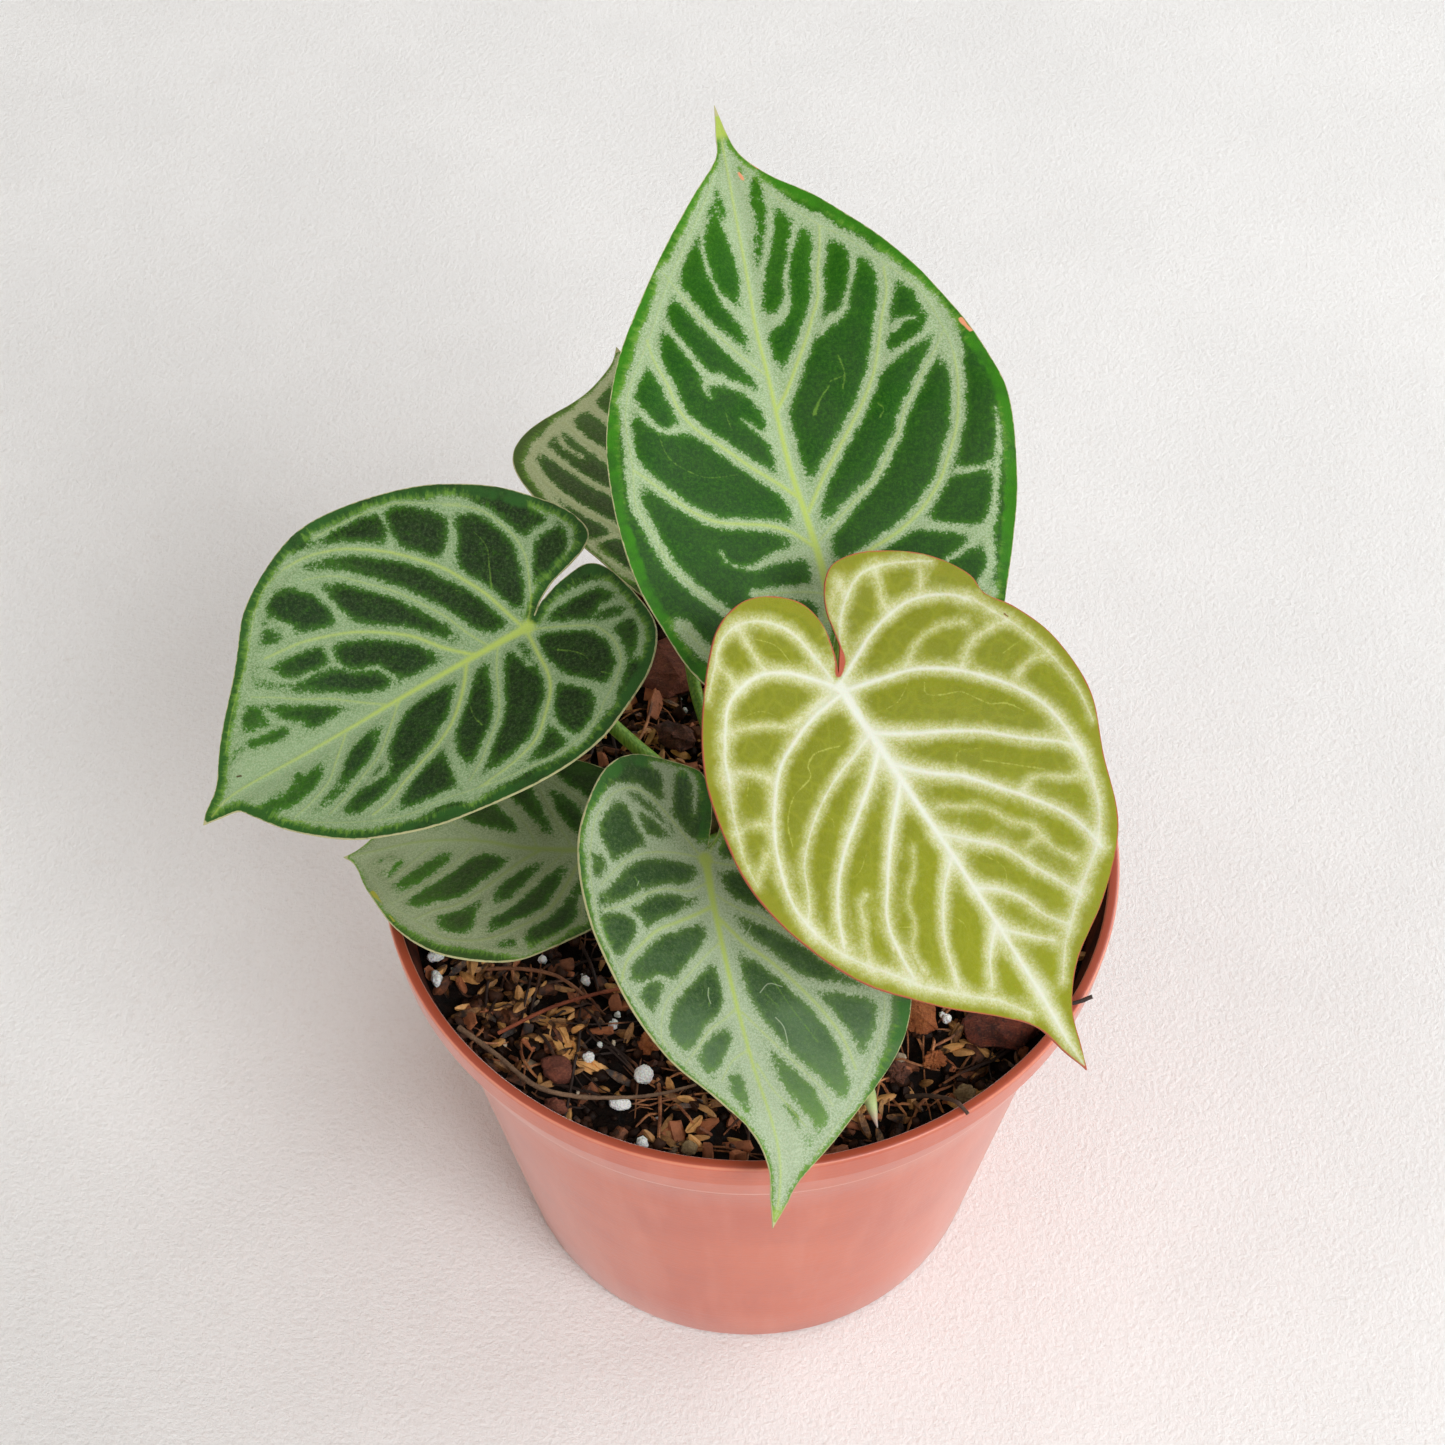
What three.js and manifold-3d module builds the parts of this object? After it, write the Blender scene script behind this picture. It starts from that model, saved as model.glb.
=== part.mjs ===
// Potted silver-veined anthurium: six heart-shaped leaves on stalks from one short crown, in a
// tapered plastic nursery pot filled with a chunky potting mix. Millimetres, +Z up, origin at the
// centre of the pot's underside, +X to the right and -Y to the front.
import * as THREE from 'three';
import Module from 'manifold-3d';
import { mergeVertices } from 'three/addons/utils/BufferGeometryUtils.js';

const wasm = await Module();
wasm.setup();

// Driving dimensions of the pot
const POT_HEIGHT = 118;
const RIM_RADIUS = 75;
const BASE_RADIUS = 53;
const HEEL = 1.4;
const BAND_HEIGHT = 17.5;
const BAND_FOOT_RADIUS = 71.2;
const BAND_STEP = 3.0;
const LEDGE_FOOT = -1.2;
const LEDGE_TOP = 0.6;
const LIP = 2.2;
const WALL = 1.8;
const FLOOR = 2.4;
const POT_SEGMENTS = 64;
const DRAIN_HOLES = 6;
const DRAIN_RADIUS = 4.5;
const DRAIN_CIRCLE = 36;

// Driving dimensions of the potting mix
const SOIL_HEIGHT = 106;
const SOIL_RINGS = 9;
const SOIL_SECTORS = 40;
const HUSK_COUNT = 64;
const HUSK_LENGTH = 6.4;
const HUSK_WIDTH = 2.2;
const GAP = 0.3;

// Driving dimensions of the plant
const CROWN_CENTRE = new THREE.Vector2(2, 13);
const CROWN_RADIUS = 9.5;
const CROWN_TOP = 115;
const STALK_RING = 6.4;
const STALK_FOOT = 109;
const BLADE_THICKNESS = 0.7;
const RIB_HEIGHT = 0.45;
const MIDRIB_HEIGHT = 1.1;
const MIDRIB_HALF_WIDTH = 2.4;
const CUP_POWER = 1.3;
const LOBE_REACH = 20;

// The fraction of a side's outline that the lobe's own ribs reach, and that the ribs from the
// attachment reach; past it the ribs leave the midrib one after another.
const LOBE_SHARE = 0.33;
const FAN_SHARE = 0.44;
const RIB_COLUMNS = [0, 0.08, 0.26, 0.46, 0.66, 0.85, 1];
const MIDRIB_SPACING_POWER = 1.25;
const RIB_BOW = 0.05;

const v3 = (p) => new THREE.Vector3(...p);

// A repeatable stream of random numbers from 0 to 1.
function randomStream(seed) {
  let state = seed >>> 0;
  return () => {
    state = (state + 0x6d2b79f5) >>> 0;
    let t = state;
    t = Math.imul(t ^ (t >>> 15), t | 1);
    t ^= t + Math.imul(t ^ (t >>> 7), t | 61);
    return ((t ^ (t >>> 14)) >>> 0) / 4294967296;
  };
}

// A closed geometry as a solid that can be joined and cut.
function solidOf(geometry) {
  const bare = geometry.clone();
  bare.deleteAttribute('normal');
  bare.deleteAttribute('uv');
  const merged = mergeVertices(bare, 1e-4);
  return new wasm.Manifold(new wasm.Mesh({
    numProp: 3,
    vertProperties: new Float32Array(merged.attributes.position.array),
    triVerts: new Uint32Array(merged.index.array),
  }));
}

// A solid as a geometry, with any loose scrap left behind by a cut dropped.
function geometryOf(solid) {
  const bodies = solid.decompose();
  const body = bodies.reduce((best, one) => (one.volume() > best.volume() ? one : best));
  const { vertProperties, triVerts } = body.getMesh();
  const geometry = new THREE.BufferGeometry();
  geometry.setAttribute('position', new THREE.BufferAttribute(vertProperties, 3));
  geometry.setIndex(new THREE.BufferAttribute(triVerts, 1));
  geometry.computeVertexNormals();
  return geometry;
}

function geometryFrom(positions, triangles) {
  const geometry = new THREE.BufferGeometry();
  geometry.setAttribute('position', new THREE.Float32BufferAttribute(positions, 3));
  geometry.setIndex(triangles);
  geometry.computeVertexNormals();
  return geometry;
}

// A lathe about +Z of a profile of [radius, height] points that starts and ends on the axis.
function turned(profile, segments) {
  const points = profile.map(([r, z]) => new THREE.Vector2(r, z));
  return new THREE.LatheGeometry(points, segments).rotateX(Math.PI / 2);
}

// A round tapering shoot along a curve. radius(t) runs from the foot at 0 to the top at 1; grow
// thickens it and lengthens both ends; seat is a plane that its top end is cut along.
function shoot(curve, radius, { steps = 10, sides = 8, grow = 0, seat = null } = {}) {
  const frames = curve.computeFrenetFrames(steps, false);
  const positions = [];
  const triangles = [];
  const along = new THREE.Vector3();
  for (let i = 0; i <= steps; i += 1) {
    const t = i / steps;
    const tangent = frames.tangents[i];
    const centre = curve.getPointAt(t);
    if (i === 0) centre.addScaledVector(tangent, -grow);
    if (i === steps) centre.addScaledVector(tangent, grow);
    for (let k = 0; k < sides; k += 1) {
      const angle = (2 * Math.PI * k) / sides;
      const reach = radius(t) + grow;
      const point = centre.clone()
        .addScaledVector(frames.normals[i], Math.cos(angle) * reach)
        .addScaledVector(frames.binormals[i], Math.sin(angle) * reach);
      if (i === steps && seat) {
        const slip = -seat.distanceToPoint(point) / seat.normal.dot(tangent);
        point.add(along.copy(tangent).multiplyScalar(slip));
      }
      positions.push(point.x, point.y, point.z);
    }
  }
  for (let i = 0; i < steps; i += 1) {
    for (let k = 0; k < sides; k += 1) {
      const a = i * sides + k;
      const b = i * sides + ((k + 1) % sides);
      triangles.push(a, b, b + sides, a, b + sides, a + sides);
    }
  }
  const top = steps * sides;
  for (let k = 1; k < sides - 1; k += 1) {
    triangles.push(0, k + 1, k, top, top + k, top + k + 1);
  }
  return geometryFrom(positions, triangles);
}

// Pot

// The radius of the pot's inner wall at a height. The wall steps out over a ledge where the band starts.
function innerRadius(height) {
  const bandFoot = POT_HEIGHT - BAND_HEIGHT;
  const footRadius = BASE_RADIUS - WALL;
  const shoulder = BAND_FOOT_RADIUS - BAND_STEP - WALL;
  const banded = BAND_FOOT_RADIUS - WALL;
  const [low, high] = [bandFoot + LEDGE_FOOT, bandFoot + LEDGE_TOP];
  if (height <= low) {
    return THREE.MathUtils.mapLinear(height, FLOOR, low, footRadius, shoulder);
  }
  if (height < high) {
    return THREE.MathUtils.mapLinear(height, low, high, shoulder, banded);
  }
  return THREE.MathUtils.mapLinear(height, high, POT_HEIGHT, banded, RIM_RADIUS - LIP);
}

function potGeometry() {
  const bandFoot = POT_HEIGHT - BAND_HEIGHT;
  const profile = [
    [0, 0],
    [BASE_RADIUS - HEEL, 0],
    [BASE_RADIUS, HEEL],
    [BAND_FOOT_RADIUS - BAND_STEP, bandFoot - 0.4],
    [BAND_FOOT_RADIUS, bandFoot + 0.5],
    [RIM_RADIUS - 1.0, POT_HEIGHT - 7.6],
    [RIM_RADIUS - 0.5, POT_HEIGHT - 7.0],
    [RIM_RADIUS, POT_HEIGHT - 0.7],
    [RIM_RADIUS - 0.5, POT_HEIGHT],
    [RIM_RADIUS - LIP + 0.4, POT_HEIGHT],
    [RIM_RADIUS - LIP, POT_HEIGHT - 0.5],
    [innerRadius(bandFoot + LEDGE_TOP), bandFoot + LEDGE_TOP],
    [innerRadius(bandFoot + LEDGE_FOOT), bandFoot + LEDGE_FOOT],
    [innerRadius(FLOOR), FLOOR],
    [0, FLOOR],
  ];
  let pot = solidOf(turned(profile, POT_SEGMENTS));
  for (let k = 0; k < DRAIN_HOLES; k += 1) {
    const angle = (2 * Math.PI * (k + 0.5)) / DRAIN_HOLES;
    const hole = new THREE.CylinderGeometry(DRAIN_RADIUS, DRAIN_RADIUS, 4 * FLOOR, 14)
      .rotateX(Math.PI / 2)
      .translate(DRAIN_CIRCLE * Math.cos(angle), DRAIN_CIRCLE * Math.sin(angle), 0);
    pot = pot.subtract(solidOf(hole));
  }
  return geometryOf(pot);
}

// Potting mix

// The height of the mix at a place: a low mound round the crown, hollows towards the wall.
function soilHeight(x, y) {
  const reach = Math.hypot(x - CROWN_CENTRE.x, y - CROWN_CENTRE.y);
  return SOIL_HEIGHT
    + 1.6 * Math.exp(-((reach / 22) ** 2))
    + 0.9 * Math.sin(0.17 * x + 1.1) * Math.cos(0.15 * y - 0.4)
    + 0.5 * Math.sin(0.41 * x + 0.33 * y)
    + 0.4 * Math.cos(0.52 * y - 0.29 * x + 2);
}

function soilGeometry() {
  const foot = FLOOR + GAP;
  const bandFoot = POT_HEIGHT - BAND_HEIGHT;
  const positions = [0, 0, soilHeight(0, 0)];
  const triangles = [];
  const ring = (radius, height) => {
    for (let k = 0; k < SOIL_SECTORS; k += 1) {
      const angle = (2 * Math.PI * k) / SOIL_SECTORS;
      const x = radius * Math.cos(angle);
      const y = radius * Math.sin(angle);
      positions.push(x, y, height === null ? soilHeight(x, y) : height);
    }
  };
  const edge = innerRadius(SOIL_HEIGHT) - GAP;
  for (let i = 1; i <= SOIL_RINGS; i += 1) ring((edge * i) / SOIL_RINGS, null);
  for (const rise of [LEDGE_TOP, LEDGE_FOOT]) {
    ring(innerRadius(bandFoot + rise) - GAP, bandFoot + rise + 0.5 * GAP);
  }
  ring(innerRadius(foot) - GAP, foot);
  const rings = SOIL_RINGS + 3;
  const last = 1 + (rings - 1) * SOIL_SECTORS;
  positions.push(0, 0, foot);
  const bottom = positions.length / 3 - 1;
  for (let k = 0; k < SOIL_SECTORS; k += 1) {
    const next = (k + 1) % SOIL_SECTORS;
    triangles.push(0, 1 + k, 1 + next, bottom, last + next, last + k);
    for (let i = 0; i < rings - 1; i += 1) {
      const a = 1 + i * SOIL_SECTORS + k;
      const b = 1 + i * SOIL_SECTORS + next;
      triangles.push(a, a + SOIL_SECTORS, b + SOIL_SECTORS, a, b + SOIL_SECTORS, b);
    }
  }
  return geometryFrom(positions, triangles);
}

// Rice husks lie half sunk in the top of the mix.
function withHusks(soil) {
  const random = randomStream(41);
  let result = soil;
  for (let k = 0; k < HUSK_COUNT; k += 1) {
    const radius = 66 * Math.sqrt(random());
    const angle = 2 * Math.PI * random();
    const x = radius * Math.cos(angle);
    const y = radius * Math.sin(angle);
    const size = 0.8 + 0.4 * random();
    const husk = new THREE.OctahedronGeometry(1, 0)
      .scale(0.5 * HUSK_LENGTH * size, 0.5 * HUSK_WIDTH * size, 0.5 * HUSK_WIDTH * size)
      .rotateY(0.5 * (random() - 0.5))
      .rotateZ(2 * Math.PI * random())
      .translate(x, y, soilHeight(x, y) + 0.25);
    const clear = Math.hypot(x - CROWN_CENTRE.x, y - CROWN_CENTRE.y) > CROWN_RADIUS + HUSK_LENGTH;
    if (clear) result = result.add(solidOf(husk));
  }
  return result;
}

// Loose pieces on the mix: centre x and y, size across, deep and high, turn about +Z in degrees,
// and how far the centre lies above the mix.
const BARK = [
  { at: [49.0, -38.1], size: [19, 13, 8], turn: -6, rise: 1.6 },
  { at: [33.2, -35.5], size: [7.5, 9, 6], turn: 20, rise: 0.8 },
  { at: [35.8, -45.2], size: [5.5, 3.6, 3.2], turn: 15, rise: 0.8 },
  { at: [28.6, -47.6], size: [5.5, 5, 4.4], turn: 50, rise: 0.6 },
  { at: [-38.6, -46.6], size: [9.6, 8.2, 6.5], turn: -30, rise: 0.6 },
  { at: [-38.8, -53.8], size: [7, 4.2, 4], turn: -25, rise: 0.3 },
  { at: [-20.6, -40.2], size: [6, 5, 4], turn: 40, rise: 0.5 },
  { at: [-17.5, 54.5], size: [17, 19, 8.5], turn: 28, rise: 1.4 },
  { at: [-15.8, 35.6], size: [11.5, 7, 5.5], turn: -28, rise: 0.9 },
  { at: [41.6, -52.4], size: [6, 5.4, 4.4], turn: 10, rise: 0.9 },
  { at: [22, 40], size: [13, 9, 6.5], turn: 65, rise: 1.0 },
  { at: [50, 14], size: [10, 8, 6], turn: -40, rise: 0.9 },
  { at: [-50, 22], size: [12, 8, 6], turn: 15, rise: 0.9 },
  { at: [8, -38], size: [9, 7, 5], turn: 80, rise: 0.7 },
];
const PERLITE = [
  { at: [-21.6, -47.8], size: [5.4, 5.4, 5.0], turn: 0, rise: 1.2 },
  { at: [-26.2, -54.4], size: [6.4, 4.0, 3.6], turn: -12, rise: 0.9 },
  { at: [-32.4, -44.2], size: [3.5, 3.3, 3.2], turn: 0, rise: 1.0 },
  { at: [-63.5, -25.2], size: [3.2, 5.8, 4.2], turn: 20, rise: 1.0 },
  { at: [-64.0, -19.1], size: [5.6, 4.0, 3.4], turn: 20, rise: 1.0 },
  { at: [38.7, -35.4], size: [2.9, 2.7, 2.6], turn: 30, rise: 1.0 },
  { at: [-12.4, -64.0], size: [4.6, 4.2, 3.8], turn: 0, rise: 0.8 },
  { at: [32, 47], size: [4.8, 4.4, 4], turn: 0, rise: 1.0 },
  { at: [-46, 43], size: [4.2, 4.6, 4], turn: 0, rise: 1.0 },
];

// An angular lump: an icosahedron of the given size with its corners moved in or out.
function lump(piece, seed, detail, grow = 0) {
  const random = randomStream(seed);
  const geometry = new THREE.IcosahedronGeometry(1, detail);
  geometry.deleteAttribute('normal');
  geometry.deleteAttribute('uv');
  const merged = mergeVertices(geometry, 1e-4);
  const position = merged.attributes.position;
  const corner = new THREE.Vector3();
  for (let k = 0; k < position.count; k += 1) {
    corner.fromBufferAttribute(position, k);
    const reach = 0.86 + 0.22 * random();
    const [w, d, h] = piece.size;
    corner.multiply(v3([0.5 * w * reach + grow, 0.5 * d * reach + grow, 0.5 * h * reach + grow]));
    position.setXYZ(k, corner.x, corner.y, corner.z);
  }
  const [x, y] = piece.at;
  merged.rotateZ(THREE.MathUtils.degToRad(piece.turn));
  merged.translate(x, y, soilHeight(x, y) + piece.rise);
  merged.computeVertexNormals();
  return merged;
}

// Twigs and coir fibres, as the points that they pass and their thickness.
const TWIGS = [
  {
    name: 'twig_front',
    points: [[-58.2, -38.1, 109.2], [-50.6, -44.6, 109.8], [-42.6, -52.6, 111.0], [-34.6, -55.8, 111.0],
      [-26.0, -56.0, 110.4], [-18.6, -54.4, 108.6], [-11.2, -52.0, 107.4]],
    radius: [0.8, 0.42],
  },
  {
    name: 'twig_right',
    points: [[44, -29.5, 107.6], [54.6, -36.0, 115.2], [61.8, -39.4, 119.0], [66.2, -38.6, 120.1]],
    radius: [0.5, 0.45],
  },
  {
    name: 'twig_rim',
    points: [[30, -53, 106.8], [34.4, -56.0, 112.2], [38.4, -61.2, 119.1], [40.6, -64.0, 119.2]],
    radius: [0.5, 0.42],
  },
  {
    name: 'coir_long',
    points: [[-55, -23.4, 107.4], [-46.8, -24.0, 108.6], [-39.2, -25.8, 108.6], [-33.4, -29.6, 107.2]],
    radius: [0.5, 0.45],
  },
  {
    name: 'coir_bright',
    points: [[-50.6, -38.0, 106.8], [-39.0, -33.4, 109.6], [-25.6, -29.4, 109.6], [-15, -27.5, 107]],
    radius: [0.5, 0.45],
  },
];

function twigGeometry(twig, grow = 0) {
  const curve = new THREE.CatmullRomCurve3(twig.points.map(v3));
  const [foot, top] = twig.radius;
  return shoot(curve, (t) => foot + (top - foot) * t, { steps: 9, sides: 6, grow });
}

// A young shoot that comes up through the mix and leans out towards the rim.
const SPROUT = [[21.2, -47.5, 102.5], [22.2, -52.0, 107.4], [23.0, -57.6, 110.2], [23.8, -62.2, 111.0]];

function sproutGeometry(grow = 0) {
  const curve = new THREE.CatmullRomCurve3(SPROUT.map(v3));
  const radius = (t) => 1.7 * (1 - t ** 2.4) + 0.15;
  return shoot(curve, radius, { steps: 7, sides: 7, grow });
}

// Leaves. An outline is given in the leaf's own plane, x across and y towards the tip, from the
// notch between the lobes round each side to the tip; the stalk joins at its 0, 0. foot is the
// stalk's place round the crown in degrees, and bend holds the two handles of the stalk's curve.
const LEAVES = [
  {
    name: 'back', base: [15.3, 10.7, 178], tip: [-6.6, 111.6, 216], roll: 0,
    cup: 7, arch: 5, lobe: 3, half: 40, rows: 22, sway: -2, foot: 15, stalk: 2.0,
    bend: [[13, 17, 132], [17, 15, 158]],
    right: [[0.5, -2.5], [3, -8], [4.8, -14], [8.5, -19], [14, -21], [22, -18], [29, -11], [33, -2], [36.6, 8],
      [40, 20], [41.6, 34], [40.1, 44], [34.8, 58], [25.7, 73.5], [15.3, 85.3], [7, 92.7], [2.1, 99.6], [0, 109.9]],
    left: [[0.5, -2.5], [-1.8, -8], [-3.8, -14], [-7.5, -18.5], [-13, -20], [-20.5, -17], [-28.5, -8.5],
      [-33, 1.5], [-36, 11], [-37.3, 25], [-36, 40], [-31, 55], [-24.5, 67], [-16, 80], [-8, 90.5],
      [-2.2, 98], [-1.1, 103], [0, 109.9]],
  },
  {
    name: 'left', base: [-43.4, 18.4, 165], tip: [-106, -14.2, 145], roll: 8,
    cup: 9.5, arch: 5, lobe: 5, half: 38, rows: 22, sway: 1.8, foot: 172, stalk: 1.6,
    bend: [[-15, 18.5, 113.5], [-33, 15.5, 141]],
    right: [[1.5, -2.4], [3.6, -5], [5.3, -9], [6, -14], [7.2, -18], [10, -19.6], [16, -17.8], [22, -13.3],
      [28.5, -6.5], [34, 2], [38, 13], [39.6, 25], [37.4, 36], [32, 45.5], [23, 53], [12, 62.7], [5, 67.5],
      [2, 71.4], [0, 73.2]],
    left: [[1.5, -2.4], [3, -4.6], [4.1, -8.5], [4.3, -12.5], [3.6, -16.2], [0, -19], [-8, -20.4], [-18, -20.1],
      [-25, -15], [-29, -7.5], [-32.5, 3], [-33.4, 15], [-31.3, 28], [-27.5, 39.5], [-21.5, 49.5],
      [-12, 59], [-5, 63.9], [-2, 66], [-0.8, 70], [0, 73.2]],
  },
  {
    name: 'young', base: [15.9, -13.4, 186], tip: [61.3, -65.6, 138], roll: 0,
    cup: 5, arch: 6, lobe: 3, half: 40, rows: 22, sway: 0, foot: 312, stalk: 2.0,
    bend: [[13, -4, 128], [16, -17, 158]],
    right: [[-1.2, -2.3], [-3, -6], [-3.9, -11.5], [-2, -17], [4, -21.5], [10, -22.9], [17, -20.5], [25, -13],
      [32, -3.5], [37.5, 10], [38.6, 23], [35.5, 34.5], [30, 45.5], [23, 53.5], [17.5, 59], [9.5, 66],
      [4, 72], [1.6, 79], [0, 84]],
    left: [[-1.2, -2.3], [-3.6, -3.8], [-5, -8.5], [-6, -13.6], [-8.4, -17.8], [-12, -19.4], [-19, -17.4],
      [-27, -12], [-32.6, -4], [-33.4, 1], [-37, 6.5], [-40.6, 16], [-40, 28], [-35.5, 39], [-30, 51],
      [-20, 60], [-10, 66.2], [-4.5, 72.5], [-2, 79.5], [0, 84]],
  },
  {
    name: 'front', base: [-9.1, -26.3, 150], tip: [3.5, -90.2, 123], roll: 20,
    cup: 7.5, arch: 5, lobe: 3, half: 32, rows: 20, sway: -3.2, foot: 262, stalk: 1.6,
    bend: [[-1, -8, 120], [-7, -22, 136]],
    right: [[-1.2, -2.4], [-2.8, -8], [-3.2, -13], [-1.8, -17], [4, -19.3], [12, -20.5], [18.5, -18], [24, -11],
      [27.7, -3], [29, 6], [27.4, 17], [23, 28], [16, 38], [8, 45.2], [1.5, 52.6], [-0.7, 59], [0, 65], [0.5, 70]],
    left: [[-1.2, -2.4], [-3.4, -4.6], [-5, -9], [-6.4, -13.4], [-9.6, -16.4], [-14.5, -15.6], [-21, -10],
      [-27, -1], [-31.5, 9], [-33.6, 20], [-33.2, 31], [-30, 40], [-24, 47.5], [-15, 55.5], [-6, 62.4],
      [-3, 66], [0.5, 70]],
  },
  {
    name: 'low', base: [-27.8, -8.8, 128], tip: [-81.6, -8.3, 126], roll: 0,
    cup: 4, arch: 4, lobe: 3, half: 29, rows: 16, sway: 1.4, foot: 216, stalk: 1.4,
    bend: [[-11, 3, 113], [-22, -6, 117]],
    right: [[0, -2.4], [2.6, -6.6], [7, -9], [13, -6], [18, 0], [20.8, 8], [21.2, 16], [19.4, 26], [14, 37.6],
      [8, 44.6], [3.6, 48.4], [1, 51.5], [0, 53.6]],
    left: [[0, -2.4], [-2.6, -6.8], [-7.4, -9], [-13, -5.6], [-18.6, 1.5], [-25, 10], [-28.4, 18], [-27.9, 27],
      [-24.2, 35.5], [-18, 42.5], [-9, 48], [-3, 50.6], [-1, 52], [0, 53.6]],
  },
  {
    name: 'rear', base: [-12.2, 52.9, 140], tip: [-28.9, 121.2, 138], roll: 0,
    cup: 4, arch: 4, lobe: 3, half: 30, rows: 16, sway: 0, foot: 100, stalk: 1.4,
    bend: [[-10, 29, 112], [-14.5, 43, 122]],
    right: [[0, -2.4], [2.6, -7], [7.5, -8.5], [13, -4.5], [20, 4.5], [25.4, 15], [28.4, 27], [26, 39], [19, 48],
      [11, 55.6], [5, 61.4], [1.6, 66], [0, 70.2]],
    left: [[0, -2.4], [-2.6, -7], [-7.4, -7.8], [-12, -2], [-18, 7.6], [-24, 18], [-28.4, 28], [-30, 37],
      [-26, 45], [-18, 51.3], [-10, 57], [-5, 61.6], [-1.8, 65.8], [0, 70.2]],
  },
];

// The place and axes of a leaf: across, towards the tip, and out of its upper face.
function leafFrame(leaf) {
  const base = v3(leaf.base);
  const along = v3(leaf.tip).sub(base);
  const span = along.length();
  along.normalize();
  const across = along.clone().cross(new THREE.Vector3(0, 0, 1)).normalize();
  const normal = across.clone().cross(along);
  const roll = THREE.MathUtils.degToRad(leaf.roll);
  across.applyAxisAngle(along, -roll);
  normal.applyAxisAngle(along, -roll);
  // The tip droops by arch below the leaf's plane, so the plane is lifted by as much.
  const lift = Math.asin(leaf.arch / span);
  along.applyAxisAngle(across, lift);
  normal.applyAxisAngle(across, lift);
  return { base, across, along, normal, length: span * Math.cos(lift) };
}

// The height of the leaf's middle surface above its plane: cupped sides, drooping tip, raised lobes.
function leafRise(leaf, length, x, y) {
  return leaf.cup * Math.abs(x / leaf.half) ** CUP_POWER
    - leaf.arch * (Math.max(y, 0) / length) ** 2
    + leaf.lobe * (Math.max(-y, 0) / LOBE_REACH) ** 1.5;
}

// How far the midrib lies to the side of the straight line from the attachment to the tip.
function midribSway(leaf, length, y) {
  return leaf.sway * Math.sin(Math.PI * (y / length) ** 2);
}

// The height of the midrib's keel under the leaf.
function midribRise(leaf, length, x, y) {
  const beside = Math.max(0, 1 - Math.abs(x - midribSway(leaf, length, y)) / MIDRIB_HALF_WIDTH);
  const onset = THREE.MathUtils.smoothstep(y, 3, 12);
  return MIDRIB_HEIGHT * beside * onset * (1 - (0.75 * Math.max(y, 0)) / length);
}

// One side of the leaf as rows of points that run from the attachment or midrib to the margin,
// each [x, y, relief], with the rows alternately sunk as veins and raised between them.
function sideRows(leaf, length, outline, sign) {
  const margin = new THREE.SplineCurve(outline.map(([x, y]) => new THREE.Vector2(x, y)));
  margin.arcLengthDivisions = 400;
  const lobeHeart = new THREE.Vector2(sign * 0.2 * leaf.half + outline[0][0], -0.14 * leaf.half);
  const rows = [];
  for (let i = 0; i <= leaf.rows; i += 1) {
    const q = i / leaf.rows;
    const end = margin.getPointAt(q);
    const climb = Math.max(0, (q - FAN_SHARE) / (1 - FAN_SHARE));
    const up = length * climb ** MIDRIB_SPACING_POWER;
    const start = q < LOBE_SHARE ? lobeHeart : new THREE.Vector2(midribSway(leaf, length, up), up);
    if (i === leaf.rows) end.copy(start);
    const chord = end.clone().sub(start);
    const bow = RIB_BOW * THREE.MathUtils.smoothstep(climb, 0, 0.2);
    rows.push(RIB_COLUMNS.map((share) => {
      const swell = 4 * share * (1 - share);
      const x = start.x + chord.x * share + sign * chord.y * bow * swell;
      const y = start.y + chord.y * share - sign * chord.x * bow * swell;
      const relief = (i % 2 === 0 ? -1 : 1) * RIB_HEIGHT * Math.sin(Math.PI * share) ** 2;
      return [x, y, relief];
    }));
  }
  return rows;
}

// A thin curved blade: one triangulated sheet, its upper and lower faces alike, joined at the edge.
function bladeGeometry(leaf) {
  const { base, across, along, normal, length } = leafFrame(leaf);
  const points = [];
  const known = new Map();
  const sheet = [];
  const vertex = ([x, y, relief]) => {
    const key = `${x.toFixed(3)},${y.toFixed(3)}`;
    if (!known.has(key)) {
      known.set(key, points.length);
      points.push([x, y, relief]);
    }
    return known.get(key);
  };
  const triangle = (sign, a, b, c) => {
    if (a === b || b === c || c === a) return;
    sheet.push(sign > 0 ? [a, b, c] : [a, c, b]);
  };
  const middle = vertex([0, 0, 0]);
  for (const sign of [1, -1]) {
    const outline = sign > 0 ? leaf.right : leaf.left;
    const grid = sideRows(leaf, length, outline, sign).map((row) => row.map(vertex));
    for (let j = 0; j < RIB_COLUMNS.length - 1; j += 1) {
      triangle(sign, middle, grid[0][j + 1], grid[0][j]);
      for (let i = 0; i < leaf.rows; i += 1) {
        const [a, b] = [grid[i][j], grid[i][j + 1]];
        const [d, c] = [grid[i + 1][j], grid[i + 1][j + 1]];
        triangle(sign, a, b, c);
        triangle(sign, a, c, d);
      }
    }
  }
  const directed = new Set(sheet.flatMap(([a, b, c]) => [`${a},${b}`, `${b},${c}`, `${c},${a}`]));
  const count = points.length;
  const positions = [];
  for (const face of [1, -1]) {
    for (const [x, y, relief] of points) {
      const ridge = face < 0 ? midribRise(leaf, length, x, y) : 0;
      const rise = leafRise(leaf, length, x, y) + relief + 0.5 * face * BLADE_THICKNESS - ridge;
      const point = base.clone()
        .addScaledVector(across, x)
        .addScaledVector(along, y)
        .addScaledVector(normal, rise);
      positions.push(point.x, point.y, point.z);
    }
  }
  const triangles = [];
  for (const [a, b, c] of sheet) {
    triangles.push(a, b, c, a + count, c + count, b + count);
    for (const [u, v] of [[a, b], [b, c], [c, a]]) {
      if (!directed.has(`${v},${u}`)) triangles.push(v, u, u + count, v, u + count, v + count);
    }
  }
  return geometryFrom(positions, triangles);
}

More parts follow.
